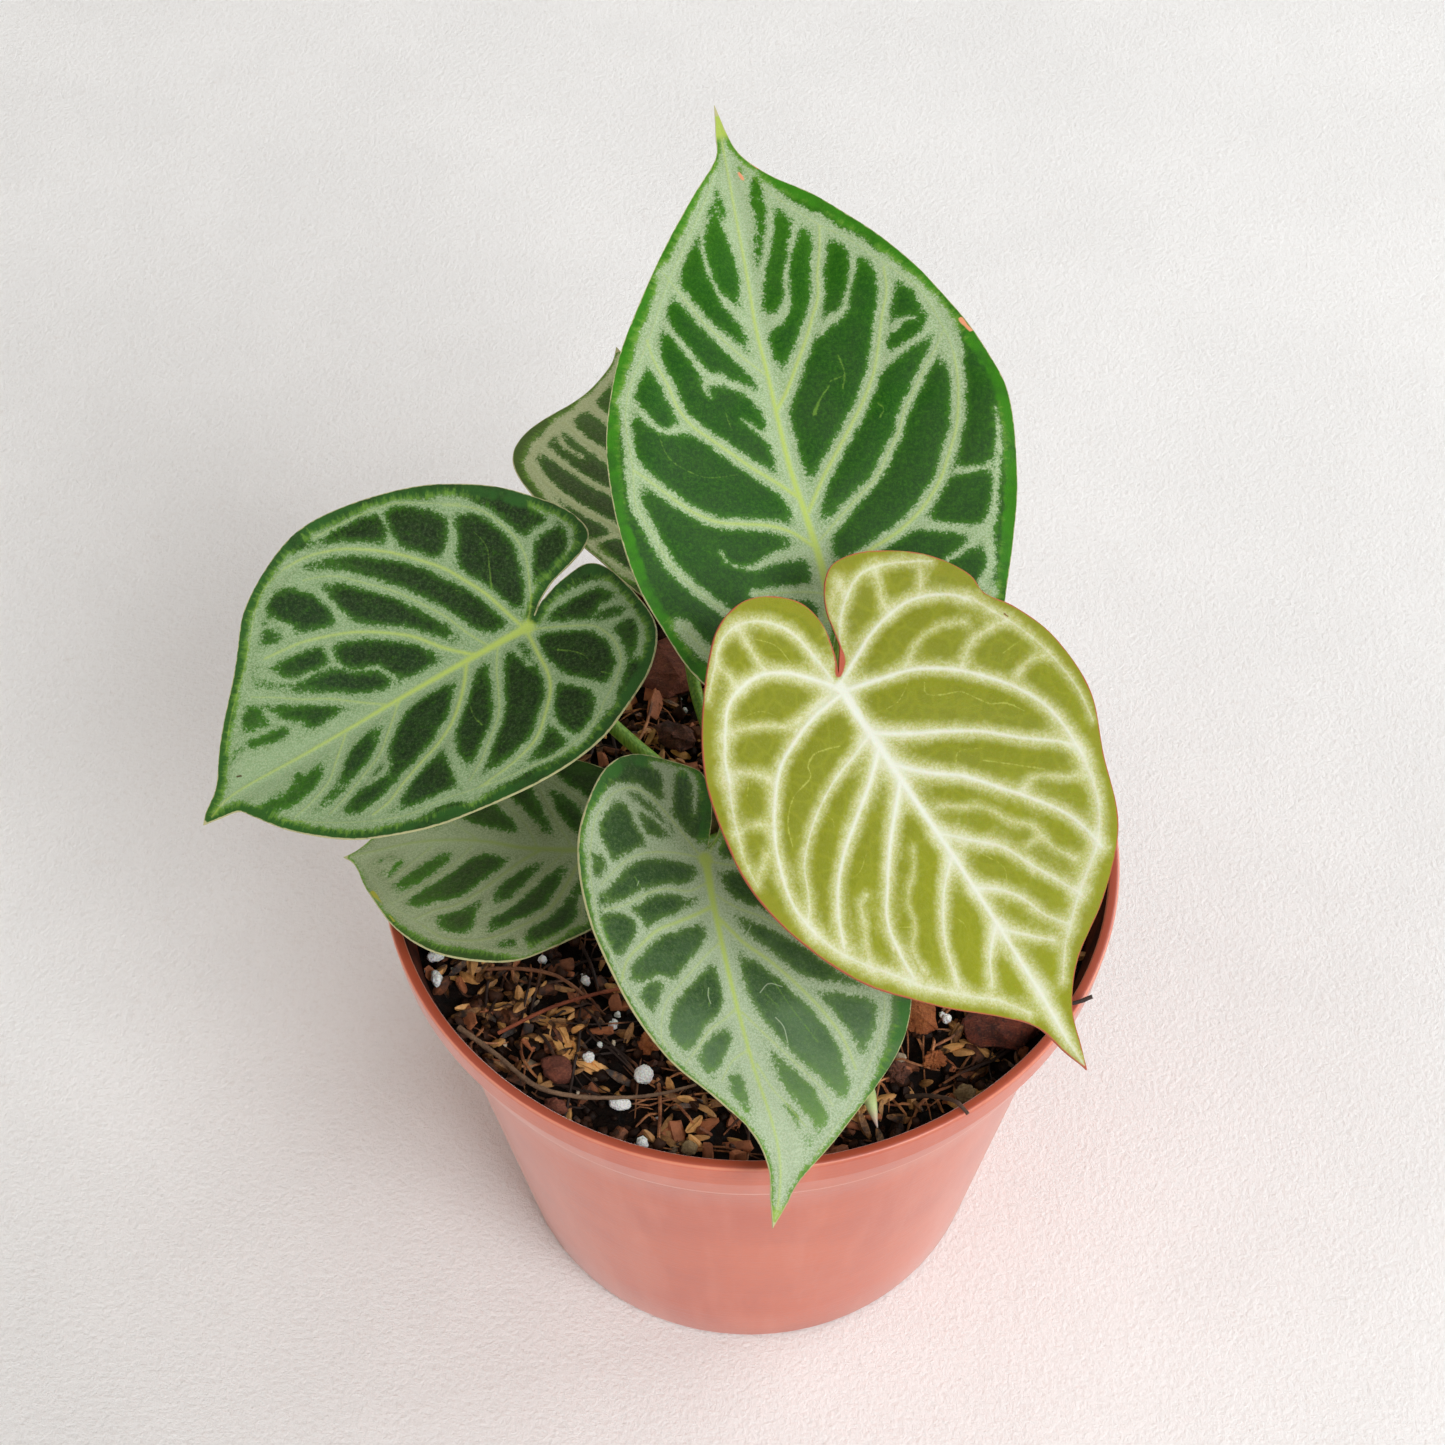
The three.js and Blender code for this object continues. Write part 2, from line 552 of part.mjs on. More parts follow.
// A stalk from its socket in the crown to the underside of its blade, swollen below the blade.
function stalkGeometry(leaf, grow = 0) {
  const { base, normal } = leafFrame(leaf);
  const angle = THREE.MathUtils.degToRad(leaf.foot);
  const foot = new THREE.Vector3(
    CROWN_CENTRE.x + STALK_RING * Math.cos(angle),
    CROWN_CENTRE.y + STALK_RING * Math.sin(angle),
    STALK_FOOT,
  );
  const seatPoint = base.clone().addScaledVector(normal, -0.5 * BLADE_THICKNESS - GAP);
  const seat = new THREE.Plane().setFromNormalAndCoplanarPoint(normal, seatPoint);
  const curve = new THREE.CubicBezierCurve3(foot, v3(leaf.bend[0]), v3(leaf.bend[1]), seatPoint);
  const knuckle = (t) => Math.exp(-(((t - 0.93) / 0.07) ** 2));
  const radius = (t) => leaf.stalk * (1.12 - 0.22 * t + 0.3 * knuckle(t));
  return shoot(curve, radius, { steps: 12, sides: 8, grow, seat: grow ? null : seat });
}

// Crown

// Thick roots arch from the crown's flank into the mix, at these angles in degrees.
const ROOTS = [40, 128, 195, 238, 335];

function rootGeometry(angle, grow = 0) {
  const turn = THREE.MathUtils.degToRad(angle);
  const at = (reach, height) => new THREE.Vector3(
    CROWN_CENTRE.x + reach * Math.cos(turn),
    CROWN_CENTRE.y + reach * Math.sin(turn),
    height,
  );
  const curve = new THREE.CatmullRomCurve3([at(5, 107.5), at(11, 109.2), at(16, 107), at(20, 98)]);
  return shoot(curve, (t) => 1.9 - 0.7 * t, { steps: 6, sides: 6, grow });
}

// Pointed scales stand round the crown between the stalks, at these angles in degrees.
const SCALES = [60, 138, 194, 286, 350];

function scaleGeometry(angle) {
  const turn = THREE.MathUtils.degToRad(angle);
  return new THREE.ConeGeometry(2.6, 15, 6)
    .rotateX(Math.PI / 2)
    .scale(0.5, 1, 1)
    .rotateY(0.22)
    .rotateZ(turn)
    .translate(
      CROWN_CENTRE.x + 8.6 * Math.cos(turn),
      CROWN_CENTRE.y + 8.6 * Math.sin(turn),
      113.5,
    );
}

function crownBody(grow) {
  const profile = [
    [0, 94 - grow], [5 + grow, 94 - grow], [CROWN_RADIUS - 1 + grow, 99], [CROWN_RADIUS + grow, 105],
    [CROWN_RADIUS - 0.4 + grow, 109.5], [7.2 + grow, CROWN_TOP - 2 + grow], [3.6, CROWN_TOP - 0.4 + grow],
    [0, CROWN_TOP + grow],
  ];
  const stump = turned(profile, 14).translate(CROWN_CENTRE.x, CROWN_CENTRE.y, 0);
  return ROOTS.reduce((body, angle) => body.add(solidOf(rootGeometry(angle, grow))), solidOf(stump));
}

function crownGeometry() {
  const scaled = SCALES.reduce((body, angle) => body.add(solidOf(scaleGeometry(angle))), crownBody(0));
  const cut = LEAVES.reduce((body, leaf) => body.subtract(solidOf(stalkGeometry(leaf, GAP))), scaled);
  return geometryOf(cut);
}

// Assembly

const FINISH = {
  pot: { color: 0xcf7a62, roughness: 0.48 },
  soil: { color: 0x33211a, roughness: 0.95 },
  bark: { color: 0x7a3f2c, roughness: 0.9 },
  perlite: { color: 0xeeece6, roughness: 0.85 },
  twig: { color: 0x7c5536, roughness: 0.85 },
  crown: { color: 0x6f6a3c, roughness: 0.8 },
  stalk: { color: 0x7fa63c, roughness: 0.5 },
  sprout: { color: 0xc2d49a, roughness: 0.5 },
  leaf: { color: 0x3f7040, roughness: 0.45 },
  youngLeaf: { color: 0xa3a83a, roughness: 0.45 },
};

const group = new THREE.Group();

function place(name, geometry, finish) {
  const mesh = new THREE.Mesh(geometry, new THREE.MeshStandardMaterial({ ...finish, metalness: 0 }));
  mesh.name = name;
  group.add(mesh);
}

place('pot', potGeometry(), FINISH.pot);

let soil = withHusks(solidOf(soilGeometry())).subtract(crownBody(GAP));
BARK.forEach((piece, k) => {
  soil = soil.subtract(solidOf(lump(piece, 100 + k, 0, GAP)));
  place(`bark_${k + 1}`, lump(piece, 100 + k, 0), FINISH.bark);
});
PERLITE.forEach((piece, k) => {
  soil = soil.subtract(solidOf(lump(piece, 200 + k, 0, GAP)));
  place(`perlite_${k + 1}`, lump(piece, 200 + k, 0), FINISH.perlite);
});
TWIGS.forEach((twig) => {
  soil = soil.subtract(solidOf(twigGeometry(twig, GAP)));
  place(twig.name, twigGeometry(twig), FINISH.twig);
});
soil = soil.subtract(solidOf(sproutGeometry(GAP)));
place('sprout', sproutGeometry(), FINISH.sprout);
place('soil', geometryOf(soil), FINISH.soil);
place('crown', crownGeometry(), FINISH.crown);

LEAVES.forEach((leaf) => {
  place(`stalk_${leaf.name}`, stalkGeometry(leaf), FINISH.stalk);
  place(`leaf_${leaf.name}`, bladeGeometry(leaf), leaf.name === 'young' ? FINISH.youngLeaf : FINISH.leaf);
});

export default group;
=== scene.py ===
"""Looks of a potted anthurium with silver-veined leaves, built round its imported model.

Lengths in fields and tables are millimetres in the pot's frame. MM turns them into metres.
"""

import logging
import math
import random
from dataclasses import dataclass, field
from enum import Enum
from typing import Callable, Sequence

import bpy
import numpy as np
from mathutils import Euler, Matrix, Vector, noise
from mathutils.geometry import delaunay_2d_cdt
from mathutils.kdtree import KDTree


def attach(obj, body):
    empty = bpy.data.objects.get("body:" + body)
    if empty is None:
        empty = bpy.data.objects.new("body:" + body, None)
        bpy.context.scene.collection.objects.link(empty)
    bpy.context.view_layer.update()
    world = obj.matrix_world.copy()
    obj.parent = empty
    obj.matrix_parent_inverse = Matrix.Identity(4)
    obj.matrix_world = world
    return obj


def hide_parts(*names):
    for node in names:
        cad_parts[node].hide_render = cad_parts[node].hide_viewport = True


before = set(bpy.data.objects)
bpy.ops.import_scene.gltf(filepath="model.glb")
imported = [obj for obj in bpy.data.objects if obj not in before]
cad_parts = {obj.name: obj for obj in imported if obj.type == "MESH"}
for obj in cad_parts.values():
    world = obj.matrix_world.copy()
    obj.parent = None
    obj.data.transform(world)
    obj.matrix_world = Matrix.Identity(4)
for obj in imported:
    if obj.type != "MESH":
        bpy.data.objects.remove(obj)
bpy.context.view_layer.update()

MM = 0.001
BODY = "root"
LOG = logging.getLogger("anthurium")

# Without a seed, the noise vectors would start from the clock.
NOISE_SEED = 11
# The middle of the crown, seen from above.
CROWN = (2.0, 13.0)
STRAND_WELD = 0.002
KNOT_SAMPLES = 12

Colour = tuple[float, float, float, float]
Socket = bpy.types.NodeSocket
Outputs = bpy.types.bpy_prop_collection
Material = bpy.types.Material
Piece = bpy.types.Object
Points = Sequence[Sequence[float]]
Model = tuple[np.ndarray, list[tuple[int, ...]]]


def srgb(red: int, green: int, blue: int) -> Colour:
    """Turn a colour as seen, 0 to 255 a channel, into the linear colour that a shader takes."""
    def linear(value: int) -> float:
        """Undo the display curve of one channel."""
        share = value / 255
        return share / 12.92 if share <= 0.04045 else ((share + 0.055) / 1.055) ** 2.4

    return (linear(red), linear(green), linear(blue), 1.0)


def smoothstep(low: float, high: float, value: np.ndarray | float) -> np.ndarray | float:
    """Rise smoothly from 0 at low to 1 at high."""
    share = np.clip((value - low) / (high - low), 0.0, 1.0)
    return share * share * (3 - 2 * share)


# Operators and pieces


def clear_selection() -> None:
    """Go to object mode with nothing selected."""
    if bpy.context.mode != "OBJECT":
        bpy.ops.object.mode_set(mode="OBJECT")
    bpy.ops.object.select_all(action="DESELECT")


def activate(piece: Piece) -> None:
    """Select one piece alone and make it the active one."""
    clear_selection()
    piece.select_set(True)
    bpy.context.view_layer.objects.active = piece


def edit_whole(piece: Piece) -> None:
    """Open one piece in edit mode with all of it selected."""
    activate(piece)
    bpy.ops.object.mode_set(mode="EDIT")
    bpy.ops.mesh.select_all(action="SELECT")


def adopt(name: str) -> Piece:
    """Name the object that was just added, and bake its place into its mesh.

    Args:
        name: The piece's name.

    Returns:
        The piece, at the origin, unturned and unscaled.
    """
    if bpy.context.mode != "OBJECT":
        bpy.ops.object.mode_set(mode="OBJECT")
    piece = bpy.context.active_object
    piece.name = name
    piece.data.name = name
    bpy.ops.object.transform_apply(location=True, rotation=True, scale=True)
    return piece


def apply_modifier(piece: Piece, kind: str, **settings: object) -> None:
    """Add a modifier to a piece, set it and apply it.

    Args:
        piece: The piece that the modifier shapes.
        kind: The modifier's type.
        settings: The modifier's properties by name.
    """
    activate(piece)
    modifier = piece.modifiers.new(kind.title(), kind)
    for name, value in settings.items():
        setattr(modifier, name, value)
    bpy.ops.object.modifier_apply(modifier=modifier.name)


def smooth(piece: Piece, angle: float = 40.0) -> None:
    """Shade a piece smooth, with edges sharper than an angle in degrees kept."""
    activate(piece)
    bpy.ops.object.shade_smooth_by_angle(angle=math.radians(angle))


def dress(piece: Piece, material: Material, replaces: Sequence[str] = ()) -> Piece:
    """Give a finished piece its material and tie it to the frame.

    Args:
        piece: The finished piece.
        material: The material that goes on it, unless it has some already.
        replaces: The CAD nodes that the piece stands for.

    Returns:
        The same piece.
    """
    if not piece.data.materials:
        piece.data.materials.append(material)
    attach(piece, BODY)
    if replaces:
        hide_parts(*replaces)
    LOG.info("%s: %d faces", piece.name, len(piece.data.polygons))
    return piece


def store(mesh: bpy.types.Mesh, name: str, values: np.ndarray) -> None:
    """Keep one number for each vertex as an attribute."""
    layer = mesh.attributes.new(name, "FLOAT", "POINT")
    layer.data.foreach_set("value", np.asarray(values, np.float32))


def vertices_of(mesh: bpy.types.Mesh) -> np.ndarray:
    """Read a mesh's vertices in millimetres, one row each."""
    flat = np.empty(len(mesh.vertices) * 3, np.float32)
    mesh.vertices.foreach_get("co", flat)
    return flat.reshape(-1, 3).astype(float) / MM


def move_vertices(mesh: bpy.types.Mesh, places: np.ndarray) -> None:
    """Put a mesh's vertices at new places, given in millimetres."""
    mesh.vertices.foreach_set("co", (places * MM).astype(np.float32).ravel())
    mesh.update()


def mesh_piece(name: str, places: np.ndarray, faces: Sequence[Sequence[int]]) -> Piece:
    """Make a piece from vertices in millimetres and faces.

    Args:
        name: The piece's name.
        places: One row for each vertex.
        faces: Each face's vertex numbers.

    Returns:
        The new piece.
    """
    mesh = bpy.data.meshes.new(name)
    mesh.from_pydata((places * MM).tolist(), [], list(faces))
    piece = bpy.data.objects.new(name, mesh)
    bpy.context.scene.collection.objects.link(piece)
    return piece


def turned_piece(name: str, profile: Sequence[tuple[float, float]], sides: int) -> Piece:
    """Model a closed turned body, ring after ring, by extruding and scaling a circle.

    Args:
        name: The piece's name.
        profile: Radius and height of each ring, from the underside round to the last ring inside.
        sides: The number of vertices in each ring.

    Returns:
        The piece, both its ends closed by a flat face.
    """
    clear_selection()
    radius, height = profile[0]
    bpy.ops.mesh.primitive_circle_add(
        vertices=sides, radius=radius * MM, fill_type="NGON", location=(0, 0, height * MM))
    piece = adopt(name)
    edit_whole(piece)
    for next_radius, next_height in profile[1:]:
        rise = (next_height - height) * MM
        bpy.ops.mesh.extrude_region_move(TRANSFORM_OT_translate={"value": (0, 0, rise)})
        grow = next_radius / radius
        bpy.ops.transform.resize(value=(grow, grow, 1), center_override=(0, 0, 0))
        radius, height = next_radius, next_height
    bpy.ops.mesh.select_all(action="SELECT")
    bpy.ops.mesh.normals_make_consistent(inside=False)
    bpy.ops.object.mode_set(mode="OBJECT")
    return piece


@dataclass(frozen=True)
class Route:
    """A round strand: the points on its centre line and its radius at each, in millimetres."""

    points: Points
    radii: Sequence[float]

    def along(self, places: np.ndarray) -> np.ndarray:
        """Say how far along the strand, 0 to 1, the nearest point to each place lies."""
        line = np.array(self.points)
        gaps = ((places[:, None, :] - line[None, :, :]) ** 2).sum(2)
        return gaps.argmin(1) / (len(line) - 1)


def strands(name: str, routes: Sequence[Route], sides: int) -> Piece:
    """Sweep round strands along their routes and join them in one closed mesh.

    Args:
        name: The piece's name.
        routes: The strands.
        sides: The number of sides, a multiple of 4.

    Returns:
        The piece, welded, with its ends closed.
    """
    curve = bpy.data.curves.new(name, "CURVE")
    curve.dimensions = "3D"
    curve.bevel_depth = MM
    curve.bevel_resolution = sides // 4 - 1 if sides > 4 else 0
    curve.use_fill_caps = True
    for route in routes:
        spline = curve.splines.new("POLY")
        spline.points.add(len(route.points) - 1)
        for point, place, radius in zip(spline.points, route.points, route.radii):
            point.co = (*(MM * float(value) for value in place), 1.0)
            point.radius = radius
    piece = bpy.data.objects.new(name, curve)
    bpy.context.scene.collection.objects.link(piece)
    activate(piece)
    bpy.ops.object.convert(target="MESH")
    piece = bpy.context.active_object
    piece.name = name
    edit_whole(piece)
    bpy.ops.mesh.remove_doubles(threshold=STRAND_WELD * MM)
    bpy.ops.mesh.normals_make_consistent(inside=False)
    bpy.ops.object.mode_set(mode="OBJECT")
    return piece


def curve_points(knots: Sequence[Sequence[float]], step: float) -> np.ndarray:
    """Lay a smooth line through knots and sample it evenly.

    Args:
        knots: The places that the line passes, in two or three dimensions.
        step: The spacing of the samples.

    Returns:
        One row for each sample, the first and the last knot among them.
    """
    line = np.array(knots, float)
    padded = np.vstack([2 * line[0] - line[1], line, 2 * line[-1] - line[-2]])
    dense = []
    for k in range(len(line) - 1):
        before, first, second, after = padded[k:k + 4]
        for t in np.linspace(0, 1, KNOT_SAMPLES, endpoint=False):
            dense.append(0.5 * (
                2 * first + (second - before) * t
                + (2 * before - 5 * first + 4 * second - after) * t ** 2
                + (3 * first - before - 3 * second + after) * t ** 3))
    dense = np.array(dense + [line[-1]])
    reach = np.concatenate([[0], np.cumsum(np.linalg.norm(np.diff(dense, axis=0), axis=1))])
    count = max(2, round(reach[-1] / step) + 1)
    marks = np.linspace(0, reach[-1], count)
    return np.stack([np.interp(marks, reach, dense[:, k]) for k in range(dense.shape[1])], 1)


def bezier(start: Vector, first: Vector, second: Vector, end: Vector, count: int) -> list[Vector]:
    """Sample a cubic curve from its ends and its two handles."""
    points = []
    for k in range(count + 1):
        t = k / count
        u = 1 - t
        points.append(u ** 3 * start + 3 * u * u * t * first + 3 * u * t * t * second + t ** 3 * end)
    return points


# Shader graphs


class Graph:
    """Lays shader nodes in one node tree, in a few words each."""

    def __init__(self, tree: bpy.types.NodeTree) -> None:
        """Work on the given node tree."""
        self.tree = tree

    def node(self, kind: str, **settings: object) -> bpy.types.Node:
        """Add a node of a kind and set its properties."""
        made = self.tree.nodes.new(kind)
        for name, value in settings.items():
            setattr(made, name, value)
        return made

    def feed(self, target: Socket, value: object) -> None:
        """Link a socket into the target, or set the target to a plain value."""
        if isinstance(value, Socket):
            self.tree.links.new(value, target)
        else:
            target.default_value = value

    def math(self, operation: str, first: object, second: object = 0.0) -> Socket:
        """Work out one sum on numbers."""
        made = self.node("ShaderNodeMath", operation=operation)
        self.feed(made.inputs[0], first)
        self.feed(made.inputs[1], second)
        return made.outputs[0]

    def times(self, first: object, second: object) -> Socket:
        """Multiply two numbers."""
        return self.math("MULTIPLY", first, second)

    def minus(self, first: object, second: object) -> Socket:
        """Take the second number from the first."""
        return self.math("SUBTRACT", first, second)

    def sum(self, *terms: tuple[object, float]) -> Socket | float:
        """Add values, each times its own weight."""
        total: object = 0.0
        for value, weight in terms:
            made = self.node("ShaderNodeMath", operation="MULTIPLY_ADD")
            self.feed(made.inputs[0], value)
            self.feed(made.inputs[1], weight)
            self.feed(made.inputs[2], total)
            total = made.outputs[0]
        return total

    def step(self, value: object, low: object, high: object, start: float = 0.0, end: float = 1.0) -> Socket:
        """Rise smoothly from start at low to end at high."""
        made = self.node("ShaderNodeMapRange", interpolation_type="SMOOTHSTEP")
        for target, given in zip(made.inputs[:5], (value, low, high, start, end)):
            self.feed(target, given)
        return made.outputs[0]

    def mix(self, factor: object, first: object, second: object) -> Socket:
        """Blend two colours."""
        made = self.node("ShaderNodeMix", data_type="RGBA")
        self.feed(made.inputs[0], factor)
        self.feed(made.inputs[6], first)
        self.feed(made.inputs[7], second)
        return made.outputs[2]

    def tint(self, base: object, mask: object, share: float, colour: Colour) -> Socket:
        """Lay a colour over the base where a mask is, at a share of its full strength."""
        return self.mix(self.times(mask, share), base, colour)

    def place(self, stretch: tuple[float, float, float] = (1, 1, 1)) -> Socket:
        """Give the place on the piece, in millimetres, stretched along the axes."""
        where = self.node("ShaderNodeTexCoord").outputs["Object"]
        made = self.node("ShaderNodeMapping")
        self.feed(made.inputs["Vector"], where)
        made.inputs["Scale"].default_value = tuple(value / MM for value in stretch)
        return made.outputs[0]

    def noise(self, place: Socket, scale: object, detail: float = 3.0, roughness: float = 0.55) -> Socket:
        """Give cloudy noise about 0.5, scale times a millimetre."""
        made = self.node("ShaderNodeTexNoise")
        given = {"Vector": place, "Scale": scale, "Detail": detail, "Roughness": roughness}
        for name, value in given.items():
            self.feed(made.inputs[name], value)
        return made.outputs[0]

    def tangle(self, place: Socket, scale: float) -> Socket:
        """Give a cloudy vector about 0.5, to bend other patterns with."""
        made = self.node("ShaderNodeTexNoise")
        self.feed(made.inputs["Vector"], place)
        made.inputs["Scale"].default_value = scale
        return made.outputs["Color"]

    def cells(self, place: Socket, scale: object, feature: str = "F1") -> Socket:
        """Give the distance to the nearest cell point, or to the cell's edge."""
        made = self.node("ShaderNodeTexVoronoi", feature=feature)
        self.feed(made.inputs["Vector"], place)
        self.feed(made.inputs["Scale"], scale)
        return made.outputs["Distance"]

    def read(self, name: str) -> Socket:
        """Read an attribute of the piece as a number."""
        return self.node("ShaderNodeAttribute", attribute_name=name).outputs["Fac"]

    def bump(self, height: Socket, depth: float) -> Socket:
        """Turn a height of 0 to 1 into a normal, for a relief that deep in millimetres."""
        made = self.node("ShaderNodeBump")
        made.inputs["Strength"].default_value = 1.0
        made.inputs["Distance"].default_value = depth * MM
        self.feed(made.inputs["Height"], height)
        return made.outputs[0]

    def use(self, tree: bpy.types.NodeTree, **values: object) -> bpy.types.Node:
        """Place a node group and feed its inputs by name."""
        made = self.node("ShaderNodeGroup", node_tree=tree)
        for name, value in values.items():
            self.feed(made.inputs[name.replace("_", " ")], value)
        return made


class Kind(Enum):
    """The kinds of a group's sockets."""

    NUMBER = "NodeSocketFloat"
    COLOUR = "NodeSocketColor"


def shader_group(
    name: str,
    inputs: dict[str, Kind],
    outputs: dict[str, Kind],
    build: Callable[[Graph, dict[str, Socket]], dict[str, object]],
) -> bpy.types.NodeTree:
    """Build a shader node group once, and give the same one when asked again.

    Args:
        name: The group's name.
        inputs: The kind of each input by name.
        outputs: The kind of each output by name.
        build: Takes the graph and the input sockets, and gives the output sockets.

    Returns:
        The node group.
    """
    known = bpy.data.node_groups.get(name)
    if known:
        return known
    tree = bpy.data.node_groups.new(name, "ShaderNodeTree")
    for socket, kind in inputs.items():
        tree.interface.new_socket(socket, in_out="INPUT", socket_type=kind.value)
    for socket, kind in outputs.items():
        tree.interface.new_socket(socket, in_out="OUTPUT", socket_type=kind.value)
    graph = Graph(tree)
    entry = graph.node("NodeGroupInput")
    leave = graph.node("NodeGroupOutput")
    made = build(graph, {socket: entry.outputs[socket] for socket in inputs})
    for socket, value in made.items():
        graph.feed(leave.inputs[socket], value)
    return tree


def vein_masks() -> bpy.types.NodeTree:
    """Group: turns a leaf's distance fields into stippled masks for its painted pattern."""
    def build(graph: Graph, given: dict[str, Socket]) -> dict[str, object]:
        """Lay the masks' nodes."""
        place = graph.place()
        soft, reach = given["Soft"], given["Reach"]
        fine = graph.noise(place, given["Grain"], 3.0, 0.75)
        wide = graph.noise(place, graph.times(given["Grain"], 0.3), 3.0, 0.6)
        coarse = graph.minus(wide, 0.5)
        cloud = graph.minus(graph.noise(place, 0.25, 2.0), 0.5)
        grain = graph.minus(fine, 0.5)
        wander = graph.sum((given["Silver"], 1.0), (coarse, 1.3), (cloud, 0.7))
        dots = graph.sum((graph.math("DIVIDE", wander, reach), 1.0),
                         (graph.times(grain, given["Fray"]), -1.0), (1.0, 0.05))
        silver = graph.step(dots, graph.times(soft, -1.0), soft)
        depth = graph.step(wander, 0.0, graph.times(reach, 2.0))
        core = graph.step(graph.sum((given["Core"], 1.0), (grain, 0.5)), -0.24, 0.72)
        thread = graph.step(graph.sum((given["Net"], 1.0), (grain, 0.8), (coarse, 0.5)), -0.12, 0.24)
        net = graph.times(thread, graph.minus(1.0, silver))
        spray = graph.node("ShaderNodeCombineXYZ")
        graph.feed(spray.inputs[0], given["Lap"])
        graph.feed(spray.inputs[1], graph.times(given["Rim"], 0.16))
        spurs = graph.minus(graph.noise(spray.outputs[0], 1.1, 3.0, 0.7), 0.5)
        near = graph.step(given["Rim"], 4.0, 6.5, 1.0, 0.0)
        lash = graph.times(spurs, near)
        flush = graph.step(graph.sum((wander, 1.0), (grain, 2.2), (lash, 4.5)), -1.6, 0.3)
        band = graph.step(graph.sum((given["Rim"], 1.0), (cloud, 2.0), (coarse, 1.2)), given["Border"],
                          graph.times(given["Border"], 1.5), 1.0, 0.0)
        edge = graph.step(graph.sum((given["Rim"], 1.0), (coarse, 0.5)), 0.0, given["Line"], 1.0, 0.0)
        warped = graph.node("ShaderNodeVectorMath", operation="MULTIPLY_ADD")
        for target, value in zip(warped.inputs, (graph.tangle(place, 0.2), (3.0, 3.0, 3.0), place)):
            graph.feed(target, value)
        web = graph.step(graph.cells(warped.outputs[0], 0.26, "DISTANCE_TO_EDGE"), 0.0, 0.14, 1.0, 0.0)
        dense = graph.noise(place, graph.times(given["Grain"], 1.5), 2.0, 0.8)
        speck = graph.step(dense, 0.38, 0.62)
        return {"Silver": silver, "Depth": depth, "Core": core, "Net": net, "Flush": flush, "Band": band,
                "Edge": edge, "Speck": speck, "Cloud": cloud, "Web": web}

    inputs = ("Silver", "Core", "Net", "Rim", "Lap", "Grain", "Reach", "Fray", "Soft", "Border", "Line")
    outputs = ("Silver", "Depth", "Core", "Net", "Flush", "Band", "Edge", "Speck", "Cloud", "Web")
    return shader_group("VeinMasks", {name: Kind.NUMBER for name in inputs},
                        {name: Kind.NUMBER for name in outputs}, build)


def mottle() -> bpy.types.NodeTree:
    """Group: drifts between two colours in clouds and fine grain, and gives a height for relief."""
    def build(graph: Graph, given: dict[str, Socket]) -> dict[str, object]:
        """Lay the clouds and the grain."""
        place = graph.place()
        cloud = graph.noise(place, given["Cloud Scale"], 4.0, 0.6)
        grain = graph.noise(place, given["Grain Scale"], 3.0, 0.7)
        blend = graph.step(graph.sum((cloud, 0.65), (grain, 0.35)), 0.36, 0.64)
        return {"Colour": graph.mix(blend, given["First"], given["Second"]), "Grain": grain, "Cloud": cloud}

    inputs = {"First": Kind.COLOUR, "Second": Kind.COLOUR,
              "Cloud Scale": Kind.NUMBER, "Grain Scale": Kind.NUMBER}
    outputs = {"Colour": Kind.COLOUR, "Grain": Kind.NUMBER, "Cloud": Kind.NUMBER}
    return shader_group("Mottle", inputs, outputs, build)


def damp_crust() -> bpy.types.NodeTree:
    """Group: darkens a colour with damp peat dust that gathers in patches."""
    def build(graph: Graph, given: dict[str, Socket]) -> dict[str, object]:
        """Lay the dust."""
        place = graph.place()
        patch = graph.noise(place, 0.55, 4.0, 0.65)
        dust = graph.step(graph.sum((patch, 1.0), (given["Amount"], 0.6)), 0.62, 0.9)
        colour = graph.mix(dust, given["Base"], srgb(38, 24, 18))
        return {"Colour": colour, "Roughness": graph.step(dust, 0.0, 1.0, 0.72, 0.5)}

    inputs = {"Base": Kind.COLOUR, "Amount": Kind.NUMBER}
    outputs = {"Colour": Kind.COLOUR, "Roughness": Kind.NUMBER}
    return shader_group("DampCrust", inputs, outputs, build)


class Surface(Graph):
    """The graph of one material, laid round its Principled node."""

    def __init__(self, name: str) -> None:
        """Start a material of that name."""
        self.material = bpy.data.materials.new(name)
        self.material.use_nodes = True
        super().__init__(self.material.node_tree)

    def tones(self, first: Colour, second: Colour, clouds: float, grains: float) -> Outputs:
        """Place the mottle group: its two tones, and how many clouds and grains go to a millimetre."""
        return self.use(mottle(), First=first, Second=second, Cloud_Scale=clouds, Grain_Scale=grains).outputs

    def finish(self, **values: object) -> Material:
        """Feed the Principled node's sockets, named with underscores for spaces, and give the material."""
        shader = self.tree.nodes["Principled BSDF"]
        for name, value in values.items():
            self.feed(shader.inputs[name.replace("_", " ")], value)
        return self.material


@dataclass(frozen=True)
class Finish:
    """A plain finish: two tones that drift into each other under a fine relief.

    Clouds and grains are so many to a millimetre, and the relief is so many millimetres deep.
    """

    name: str
    first: Colour
    second: Colour
    clouds: float = 0.3
    grains: float = 2.2
    roughness: float = 0.6
    relief: float = 0.1
    gloss: float = 0.5

    def start(self) -> tuple[Surface, Outputs]:
        """Start the material and lay its two tones."""
        graph = Surface(self.name)
        return graph, graph.tones(self.first, self.second, self.clouds, self.grains)

    def close(self, graph: Surface, base: object, height: object, **values: object) -> Material:
        """Give the material its colour, its relief and its shine, and any other values by name."""
        given = {"Roughness": self.roughness, "Specular_IOR_Level": self.gloss}
        given.update(values)
        return graph.finish(Base_Color=base, Normal=graph.bump(height, self.relief), **given)

    def build(self) -> Material:
        """Build the material."""
        graph, tone = self.start()
        return self.close(graph, tone["Colour"], tone["Grain"])


# Leaves


